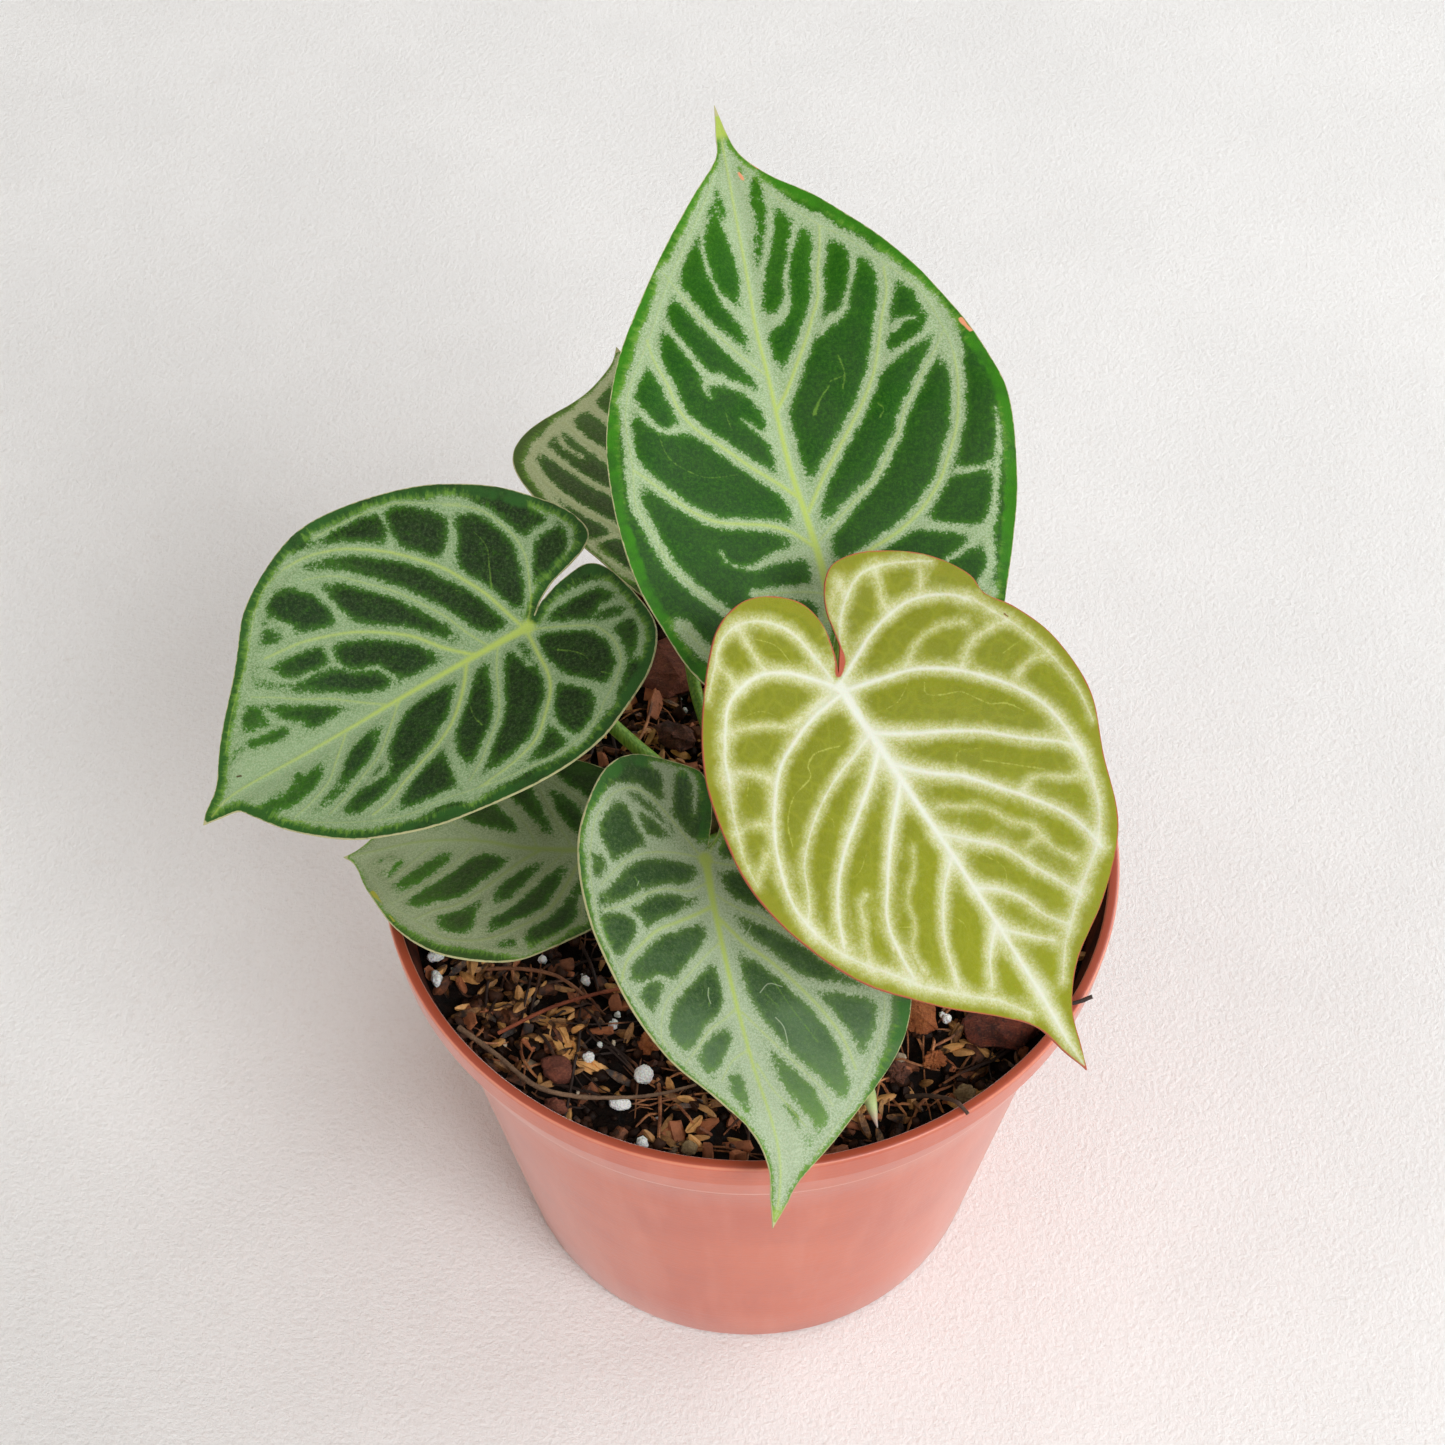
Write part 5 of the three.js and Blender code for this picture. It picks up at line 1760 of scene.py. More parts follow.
TWIG_BROWN = (srgb(92, 66, 50), srgb(150, 116, 88))
COIR_RED = (srgb(128, 60, 36), srgb(176, 94, 60))
COIR_BROWN = (srgb(112, 66, 42), srgb(160, 106, 72))
TWIGS = (
    Twig("twig_front", path("-58.2,-38.1,109.2 -50.6,-44.6,109.8 -42.6,-52.4,111 -34.6,-54.9,111 "
                            "-26,-54.9,110.4 -18.6,-53.2,108.6 -11.2,-50.4,107.4"),
         (0.6, 0.34), TWIG_BROWN, 3),
    Twig("twig_right", path("44,-29.5,107.6 54.6,-36,115.2 61.8,-39.4,119 66.2,-38.6,120.1"),
         (0.5, 0.42), (srgb(40, 30, 28), srgb(78, 58, 50))),
    Twig("twig_rim", path("30,-53,106.8 34.4,-56,112.2 38.4,-61.2,119.1 40.6,-64,119.2"),
         (0.5, 0.36), (srgb(58, 40, 32), srgb(104, 76, 60))),
    Twig("coir_long", path("-55,-23.4,107.4 -46.8,-24,108.6 -39.2,-25.8,108.6 -33.4,-29.6,107.2"),
         (0.42, 0.36), COIR_BROWN, 1),
    Twig("coir_bright", path("-50.6,-38,106.8 -39,-33.4,109.6 -25.6,-29.4,109.6 -15,-27.5,107"),
         (0.4, 0.36), COIR_RED, 1),
)


# Crown and sprout


@dataclass(frozen=True)
class Crown:
    """The short stem that the stalks grow from: scarred, wrapped in dry scales, with thick roots."""

    centre: tuple[float, float] = CROWN
    radius: float = 9.5
    foot: float = 94.0
    top: float = 115.0
    roots: tuple[float, ...] = (40, 128, 195, 238, 335)
    scales: tuple[float, ...] = (60, 100, 138, 168, 194, 258, 286, 322, 350)
    sides: int = 72
    rings: int = 26
    thin_roots: int = 9

    SCALE_WIDTH = 3.6
    SCALE_WRAP = 5.0
    SCALE_LENGTH = 13.5
    SCALE_THICKNESS = 0.35

    def stem(self, finish: Material) -> Piece:
        """Model the stem, ring by ring, with its scars and creases."""
        profile = []
        for k in range(self.rings + 1):
            height = self.foot + (self.top - self.foot) * k / self.rings
            body = self.radius * (0.55 + 0.45 * float(smoothstep(self.foot, 100, height)))
            body *= math.sqrt(max(0.02, 1 - float(smoothstep(108, self.top + 0.6, height)) ** 2))
            profile.append((body + 0.3 * math.sin(height * 2.4), height))
        piece = turned_piece("crown_stem", profile, self.sides)
        places = vertices_of(piece.data)
        for k, place in enumerate(places):
            push = noise.fractal(Vector(place) * 0.3, 0.8, 2.1, 4)
            reach = math.hypot(place[0], place[1])
            if reach > 0.5:
                places[k, :2] *= 1 + 0.9 * push / reach
        places[:, :2] += np.array(self.centre)
        move_vertices(piece.data, places)
        smooth(piece, 60)
        return dress(piece, finish, ["crown"])

    def ray(self, turn: float, reach: float, height: float) -> tuple[float, float, float]:
        """Give the place at a reach from the crown's middle, in a direction in degrees."""
        angle = math.radians(turn)
        return (self.centre[0] + reach * math.cos(angle), self.centre[1] + reach * math.sin(angle), height)

    def arch(self, turn: float, form: Sequence[tuple[float, float, float]], step: float) -> np.ndarray:
        """Lay a line from the crown through a form's places: each a further turn, a reach and a height."""
        return curve_points([self.ray(turn + more, reach, height) for more, reach, height in form], step)

    def root_pieces(self, finish: Material) -> Piece:
        """Sweep the thick roots that arch into the mix, and a few thin ones between them."""
        draw = random.Random(77)
        routes = []
        for turn in self.roots:
            line = self.arch(turn, ((0, 5, 107.5), (0, 11, 109.2), (3, 16, 107), (5, 20, 98)), 0.8)
            radii = [1.9 - 0.7 * k / len(line) + draw.uniform(-0.05, 0.05) for k in range(len(line))]
            routes.append(Route(line, radii))
        for k in range(self.thin_roots):
            turn = k * 360 / self.thin_roots + draw.uniform(-14, 14)
            line = self.arch(turn, ((0, 7, 108), (6, 11, 108.6), (10, 15, 106), (12, 18, 101)), 0.9)
            routes.append(Route(line, [0.62 - 0.2 * j / len(line) for j in range(len(line))]))
        piece = strands("crown_roots", routes, 12)
        places = vertices_of(piece.data)
        push = np.array([tuple(noise.noise_vector(Vector(place) * 0.5)) for place in places])
        move_vertices(piece.data, places + 0.3 * push)
        smooth(piece, 60)
        return dress(piece, finish)

    def scale_pieces(self, finish: Material) -> Piece:
        """Model one dry papery scale, and set copies of it round the crown."""
        clear_selection()
        bpy.ops.mesh.primitive_grid_add(x_subdivisions=8, y_subdivisions=14, size=2 * MM)
        piece = adopt("scale")
        places = vertices_of(piece.data)
        across, up = places[:, 0].copy(), np.clip((places[:, 1] + 1) / 2, 0, 1)
        width = self.SCALE_WIDTH * (1 - up ** 2.2) * (0.8 + 0.5 * np.sin(math.pi * up ** 0.8)) + 0.05
        wrap = across * width / self.SCALE_WRAP
        places[:, 0] = self.SCALE_WRAP * np.sin(wrap)
        places[:, 1] = self.SCALE_WRAP * (np.cos(wrap) - 1) + 1.6 * up ** 2 + 0.35 * np.sin(9 * up) * across
        places[:, 2] = self.SCALE_LENGTH * up
        move_vertices(piece.data, places)
        apply_modifier(piece, "SOLIDIFY", thickness=self.SCALE_THICKNESS * MM, offset=0.0)
        model = model_of(piece)
        draw = random.Random(5)
        heap = Heap("crown_scales")
        for turn in self.scales:
            lean, side = draw.uniform(-0.25, 0.1), draw.uniform(-0.15, 0.15)
            tilt = Euler((lean, side, math.radians(turn - 90))).to_matrix()
            size = draw.uniform(0.7, 1.1)
            heap.lay(model, tilt, (size, size, size * draw.uniform(0.8, 1.15)), self.ray(turn, 8.0, 106.5),
                     draw.random())
        return heap.build(finish, "crown", 60)

    def build(self) -> list[Piece]:
        """Build the crown's pieces."""
        return [
            self.stem(StringyFinish("crown_skin", srgb(84, 80, 44), srgb(126, 122, 70)).build()),
            self.root_pieces(StringyFinish("crown_root", srgb(132, 112, 74), srgb(176, 158, 112)).build()),
            self.scale_pieces(StringyFinish("dry_scale", srgb(116, 80, 50), srgb(172, 132, 88)).build()),
        ]


@dataclass(frozen=True)
class StringyFinish(Finish):
    """A dry stringy skin that drifts between two tones."""

    roughness: float = 0.68
    relief: float = 0.3

    def build(self) -> Material:
        """Build the material."""
        graph, tone = self.start()
        streak = graph.noise(graph.place((1.4, 1.4, 0.25)), 1.3, 4.0, 0.65)
        height = graph.sum((streak, 1.0), (tone["Grain"], 0.3))
        return self.close(graph, graph.mix(graph.step(streak, 0.5, 0.66), tone["Colour"], self.first), height)


@dataclass(frozen=True)
class ShootFinish(Finish):
    """The young shoot's skin: pale green, darker at its foot and pink at its tip."""

    name: str = "shoot_skin"
    first: Colour = srgb(176, 200, 120)
    second: Colour = srgb(206, 220, 160)
    grains: float = 1.8
    roughness: float = 0.42
    relief: float = 0.08
    tip: Colour = srgb(222, 186, 176)
    foot: Colour = srgb(140, 164, 80)

    def build(self) -> Material:
        """Build the material."""
        graph, tone = self.start()
        share = graph.read("along")
        base = graph.mix(graph.step(share, 0.72, 0.98), tone["Colour"], self.tip)
        base = graph.mix(graph.step(share, 0.0, 0.3, 1.0, 0.0), base, self.foot)
        return self.close(graph, base, tone["Grain"], Subsurface_Weight=0.2, Subsurface_Scale=0.002)


@dataclass(frozen=True)
class Sprout:
    """The young shoot by the rim: pale green, pink at its tip."""

    points: Points = ((21.2, -47.5, 102.5), (22.2, -52.0, 107.4), (23.0, -57.6, 110.2), (23.8, -62.2, 111.0))
    radius: float = 1.7

    def build(self) -> Piece:
        """Sweep the shoot to its point and crease it like a rolled leaf."""
        line = curve_points(self.points, 0.45)
        last = len(line) - 1
        radii = [self.radius * (1 - (k / last) ** 2.4) + 0.12 for k in range(len(line))]
        route = Route(line, radii)
        piece = strands("shoot", [route], 16)
        places = vertices_of(piece.data)
        along = route.along(places)
        middle = line[np.clip((along * last).astype(int), 0, last)]
        seam = np.exp(-((places[:, 0] - middle[:, 0] - 0.4) / 0.25) ** 2) * (places[:, 2] > middle[:, 2])
        move_vertices(piece.data, places + (middle - places) * (0.16 * seam)[:, None])
        store(piece.data, "along", along)
        smooth(piece, 60)
        return dress(piece, ShootFinish().build(), ["sprout"])


# Stage


@dataclass(frozen=True)
class Stage:
    """The pale floor, the soft light and the camera at the photograph's angle."""

    target: tuple[float, float, float] = (-5.6, 76.42, 58.43)
    elevation: float = 52.6
    distance: float = 682.6
    roll: float = -0.33
    lens: float = 72.0
    sensor: float = 36.0
    floor_size: float = 16000.0
    sky: Colour = (1.0, 0.925, 0.87, 1.0)
    sky_strength: float = 0.43

    COOL = (0.97, 1.0, 1.02)
    WARM = (1.0, 0.98, 0.95)

    def floor(self) -> Piece:
        """Lay the floor: off-white plaster with faint brushed clouds."""
        clear_selection()
        bpy.ops.mesh.primitive_plane_add(size=self.floor_size * MM)
        piece = adopt("floor")
        graph = Surface("pale_plaster")
        place = graph.place()
        wash = graph.noise(place, 0.016, 5.0, 0.6)
        grain = graph.noise(place, 0.7, 5.0, 0.75)
        fleck = graph.step(graph.noise(place, 0.12, 5.0, 0.8), 0.58, 0.74)
        base = graph.mix(graph.step(wash, 0.36, 0.66), srgb(246, 246, 245), srgb(250, 250, 249))
        base = graph.tint(base, fleck, 0.3, srgb(228, 219, 212))
        base = graph.mix(graph.step(grain, 0.48, 0.7, 0.0, 0.45), base, srgb(236, 232, 228))
        piece.data.materials.append(graph.finish(
            Base_Color=base, Roughness=0.92, Specular_IOR_Level=0.15,
            Normal=graph.bump(graph.sum((grain, 1.0), (wash, 0.8)), 0.75)))
        return piece

    def lamp(self, name: str, at: tuple[float, float, float], aim: tuple[float, float, float], size: float,
             power: float, colour: tuple[float, float, float]) -> None:
        """Hang a square soft lamp at a place in metres, aimed at another."""
        light = bpy.data.lights.new(name, "AREA")
        light.size = size
        light.energy = power
        light.color = colour
        lamp = bpy.data.objects.new(name, light)
        lamp.location = at
        lamp.rotation_euler = (Vector(at) - Vector(aim)).to_track_quat("Z", "Y").to_euler()
        bpy.context.scene.collection.objects.link(lamp)

    def light(self) -> None:
        """Light the plant softly: a broad lamp high on the right, weak ones on both sides, and a pale sky."""
        self.lamp("key", (1.18, -1.51, 1.9), (0, 0, 0.1), 1.25, 48.0, self.COOL)
        self.lamp("side", (1.5, 0.6, 0.85), (0, 0.05, 0.05), 1.1, 14.5, self.COOL)
        self.lamp("fill", (-1.4, -0.6, 1.0), (-0.1, -0.05, 0.0), 1.2, 5.2, self.WARM)
        world = bpy.data.worlds.new("pale_sky")
        world.use_nodes = True
        background = world.node_tree.nodes["Background"]
        background.inputs[0].default_value = self.sky
        background.inputs[1].default_value = self.sky_strength
        bpy.context.scene.world = world
        bpy.context.scene.view_settings.view_transform = "Standard"

    def camera(self) -> None:
        """Set the camera where the photograph was taken from."""
        tilt = math.radians(self.elevation)
        roll = math.radians(self.roll)
        back = Vector((0, -math.cos(tilt), math.sin(tilt)))
        up = Vector((0, math.sin(tilt), math.cos(tilt)))
        right = Vector((1, 0, 0))
        side = math.cos(roll) * right + math.sin(roll) * up
        top = math.cos(roll) * up - math.sin(roll) * right
        data = bpy.data.cameras.new("view")
        data.lens = self.lens
        data.sensor_width = self.sensor
        data.clip_start = 0.01
        camera = bpy.data.objects.new("view", data)
        place = (Vector(self.target) + back * self.distance) * MM
        camera.matrix_world = Matrix.Translation(place) @ Matrix((side, top, back)).transposed().to_4x4()
        bpy.context.scene.collection.objects.link(camera)
        bpy.context.scene.camera = camera


# The six leaves


def mature_finish(name: str, **changes: object) -> LeafFinish:
    """Give the green and silver paint of a grown leaf, with a leaf's own changes."""
    # Here deep is the back leaf's base tone: greyer than the patch, a painted reflection of the sky.
    paint = dict(
        name=name, patch=srgb(14, 74, 0), deep=srgb(38, 70, 30), flush=srgb(72, 136, 18),
        margin=srgb(52, 122, 20), silver=srgb(176, 195, 158), silver_shade=srgb(128, 157, 102),
        core=srgb(180, 201, 92), net=srgb(116, 158, 60), edge=srgb(186, 184, 136), nick=srgb(232, 156, 116),
        under=srgb(116, 148, 80), under_vein=srgb(168, 186, 120))
    paint.update(changes)
    paint.setdefault("weave", paint["silver_shade"])
    return LeafFinish(**paint)


def young_finish() -> LeafFinish:
    """Give the paint of the young leaf: olive between cream veins, with a pink-red edge."""
    return LeafFinish(
        name="young_blade", patch=srgb(127, 133, 0), deep=srgb(118, 124, 12), flush=srgb(144, 149, 30),
        margin=srgb(130, 132, 22), silver=srgb(194, 196, 150), silver_shade=srgb(170, 172, 92),
        weave=srgb(170, 172, 92), core=srgb(214, 217, 204), net=srgb(182, 187, 90), edge=srgb(170, 84, 60),
        nick=srgb(116, 84, 34), under=srgb(160, 162, 74), under_vein=srgb(212, 208, 140), grain=1.6,
        reach=1.3, fray=1.3, soft=0.9, silver_gain=0.28, line=0.3, web=0.3, bloom=0.75, lash=0.15,
        fleck=0.12, gloss=0.14, roughness=0.38, glow=0.14)


BACK_VEINS = """
midrib 0,0 0,10 -0.8,20 -1.8,30 -2,40 -2,50 -2.2,60 -1.5,72 -1,85 -0.3,98 0,107|1.8 2.2 2.3 1.9 1.5 1.2
  0.9;
strong 0,5 5,8.5 10,11 15,13 20,16 25,21 28,26 31,32 33,40 33.5,46|1.4 1.1 1.2 1.2 1.1;
strong 0,21 4,27 8,32 12,37 15,41 18,46 20,51 22,57 24,62 24.5,67|1.4 1.3 1.2 1.2 1.4;
strong -2,42 1,46 4,51 7,56 9,60 11,64 12,69 13.5,74 14.5,79|1.4 1.5 1.2 1.1 1.3;
strong 0,13 -4,17 -8,19 -13,20 -18,21 -23,24 -27,28 -30,31 -32,33|1.0 1.0 0.9 1.0 1.2;
strong -1.5,24 -5,27.5 -9,31 -13,35 -16,38 -19,41 -21,45 -22,50 -23.5,55 -24,60|1.5 1.3 1.1 1.1 1.4;
main 1,15 6,19 10,22 14,25 17,29 20,33 22,37 25,41 28,45 30.5,48 32.5,51|1.3 0.9 0.8 0.7 0.8 1.0;
main -2.5,50 -6,54 -9,58 -12,62 -14,66 -16,70 -18,74|2.0 1.4 1.0 0.9 1.1;
main 0,4 -4,5 -9,5.5 -14,6|1.6 1.2 0.8;
main 0,0 5,-3 12,-8 18,-11.5 25,-9 30,-2|1.2 1 1;
main 0,0 -5,-4 -11,-8.5 -17,-10 -24,-6 -29,1|1.2 1 1;
collective 33.5,46 33,51 30.5,60 27,65 23,70 19,75 14,79.5 9,85 5,90.5 2.5,97|1.1 0.9 1.1 1.2 1.1 1.0;
collective -20,3 -25,8 -29,14 -31,20 -33,26 -32.3,33 -32,38 -31.5,44 -29.5,50 -26,56 -22.5,62 -19.5,68
  -16,74 -12,80 -8,86 -5,91 -2.5,97|0.9 0.9 1.0 0.9 0.8 1.3 1.5 1.2 1.1 0.9;
link -20,41 -25,40.3 -28,44 -31,47.5|0.7 0.4 0.7;
link 29,22.5 32,22 35,22|0.5 0.1;
link 20,14 24,12 28,10.5 31,9 31,3 28.5,-0.5|0.9 0.6 0.8 0.7;
link 31,9 33.5,12.5 35,17 36.5,22 38,27 38.5,33|0.8 0.4 0.4 0.0;
link 22,5 27,7 30.5,9|0.1 0.4 0.7;
link 20,47.5 24,49 28,51 31,52.5|0.8 0.4 0.5;
link 10,57 12,58.3 15,60 17,64 19,69 20,73|0.8 0.7 0.2 0.3 0.6;
link -1,60 3,61.5 5,65 6,70 8,75 10.5,81|1.2 0.9 0.3 0.2 0.4 0.7;
link -1.6,66 2.5,74 5,81 6.5,88|1.0 0.5 0.5 0.8;
link -3,43 -7,47 -11,49.5 -14,51 -16,55 -18,59 -20,63|1.0 0.7 0.5 0.4 0.6;
link -12,50 -15,49 -14,46.5|0.5 0.0;
link -3,61 -6,64.5 -8,68 -9,73 -9,79 -8,84|1.3 0.8 0.1 0.1 0.2 0.6;
link -2,13 -6,12.8 -10,12 -13,11 -16,11.5 -18,13 -19,15|1.2 1.1 0.6 0.0 -0.1;
link 0,-1 3,-9 7,-15 13,-16.5 18,-13|0.6;
link 0,-1 -3,-8 -6,-14 -12,-16 -17,-12|0.6;
link 31.5,58 34,53 34,48|0.8 0.5;
link 23.5,54 25.5,55.3 28,55|0.6 0.0;
link -2,36 -6,38 -9,41|0.9 -0.2;
link -30,2 -27,-3 -24,-6|0.6 0.4;
net -26,40 -25,35 -22,32 -18,30 -12,30|0 0 -0.1;
net -12,43 -11.5,39.5|0 -0.1;
net 11.5,44 12.5,47 12,51.5|0.1 0;
net 9.5,46 12,46.5|0;
net 5,40 7,43 9,45|0.3 0.1 0;
net 17,36.5 18.2,38 17.3,39.5|0;
net 2.5,92 2,96|0;
nick 36.4,52.6 37.8,49.8|0.45 0.3;
nick 4,97 5.6,94.4|0.4 0.3;
nick 1.7,94 2.1,92.4|0.25;
dark -3.6,85 -3.6,90|1.1 0.7;
dark 3.6,83 3.8,87 4.6,92|1.2 1.5 1.0;
dark 2,94 2.2,95|0.5
"""

LEFT_VEINS = """
midrib 0,0 0.2,8 0.5,20 0.7,30 0.8,40 1.2,50 1.8,60 1.5,67 0.3,71|1.4 1.9 2.2 2.5 3.0 3.6 3.4 2.0;
strong 0.5,0.7 5,2 10,3.5 15,6 18.5,8 22,11 26,15 29,19 32,24 34,30 34.5,35|1.3 1.1 1.0 1.0 1.0 1.3;
strong 0.5,11.5 5,16 10,20 14,25 17,30 19,35 20.5,40 21.5,47|1.5 1.3 1.1 1.2 1.5 1.7;
strong -1,0.5 -6,1 -12,1.5 -16,3 -20,6 -24,10 -26,15 -27,20 -27.5,24|0.8 0.8 0.9 1.2 1.5;
strong -0.5,14 -5,17 -10,21.5 -13,26 -15,31 -17,36 -19,40 -19.5,44|1.7 1.3 1.0 1.3 1.9;
main 1,-0.5 4,-3 8,-5 12,-6.7 16,-7 20,-6 24,-4.3 27,-1.5 29,2|1.0 0.8 0.6 0.7 0.8;
main 1,8.5 5,10.5 10,12.5 15,15.5 20,19 24,23 27,26 29,29 30.5,33|1.5 1.1 0.9 1.0 1.2;
main 1,31 4,35 8,40 11,45 14,49 16.5,53|1.9 1.1 0.9 1.1 1.4;
main -1,-1 -3,-4 -6,-8 -9,-11 -14,-12.3 -19,-11.5 -22.5,-8.5 -25,-4.5|0.9 0.8 0.7 0.9 1.1;
main -0.5,7 -5,9.5 -10,11.5 -15,14 -19,18 -22,21 -25,25|1.5 1.1 0.8 0.9 1.2;
main 0,29 -4,33 -8,37 -10,41 -12,46 -13.5,51|1.8 1.2 1.0 1.0 1.3;
main 0,41 -4,45 -7,48 -9,53 -10,57|2.2 1.6 1.4 1.6;
collective 34.5,35 33.5,40 31,43.5 27,47 23,50.5 19,54.5 15,58.5 10,62.5|1.7 1.8 1.6 1.9 2.0 1.6;
collective -25,-4.5 -27.5,-1 -29.3,4 -29.8,9 -29,15 -28.5,20 -27,26 -25,32 -24,38 -21,44 -17,49.5 -13,54.5
  -9,59.5|0.8 0.5 0.5 0.9 1.2 1.0 1.5 1.8;
collective 36.5,27 36.3,21 35.7,15 34.5,10 32,6 29.5,2 28,-1|0.5 0.2 0.3 0.6 0.7;
link 17.5,30 22,30.5 27,31.7 31,34 33,37|1.1 0.5 0.6 1.1;
link 18.5,8 21,5 24,3 27,2 29.5,1.5|1.3 0.8 0.5 0.6;
link 27,15 29,14 32,13.5 35,13.5|0.7 0.1 0.1 0.2;
link 12.5,-7 14.7,-10 14.8,-14 17,-15.5|0.7 0.5 0.5;
link 5.5,-7 6.5,-11 8.5,-15 12,-16.7 16,-16 20,-13.5|0.2 0.3 0.5 0.4;
link 6,48 9,53 10.3,59|0.9 0.5 0.6;
link 5,50 8,50.5 12,52|0.6 0.5;
link 5,27.5 8,29 10,33 13,36 14,41 15,45 19,49|0.2 0.05 0.05 0.1 0.3 0.9;
link 13.5,36 17.5,35|0.1 0.4;
link -12,24 -18,25.3 -24,25.7 -28,26|0.8 0.9 1.1;
link -12.5,42 -12.3,37.5 -9,36.5|0.5 0.4;
link -12,1 -16,-1 -20,-4 -25,-5.5|0.7 0.6 0.9;
link -29.5,4 -26,5.2 -21.5,6|0.6 0.3 0.5;
link 23.5,40.5 26.5,42.5|0.9 0.8;
link 1,-4 0.8,-9 0,-13 -2,-16.5 -7,-18.3 -12,-18.5 -17,-17.5 -21,-14.5|0.8 0.6 0.5 0.5 0.6;
link -10,-12 -11,-15 -12,-18|0.6 0.5;
link -6,-13.5 -8,-17.5|0.4;
link -2,4.5 -8,3.5|0.5 0.0;
net 10,2.3 14,0.5 18,-1.2 22,-0.5|0.1 0 -0.05;
net -8.5,-2.5 -12,-5.5 -16,-6.8|0.1 0 -0.1;
net -15,17.5 -12,18 -9.5,17.5|0;
net 13,7.5 14,9|0;
net 22,19.5 24,21|0;
net -22,-9.3 -19,-7|0;
nick 4.1,62.2 4.4,63|0.15;
dark 7,51 8.5,57.5|1.4 1.2;
dark 10.5,53 12,56.5|0.8 1.0;
dark 7.5,44 9.5,48.5|0.5 0.3;
dark -5,56 -2.5,52.5|0.9 1.0;
dark -3.8,59 -3.5,57|0.4;
dark -11,49 -8.5,44|0.6 0.9;
dark -20.5,34 -21.5,30 -18.5,28|0.8 1.8 1.0;
dark 24.5,41.5 25.5,43|0.3;
dark -28,7 -28.3,12|0.6
"""

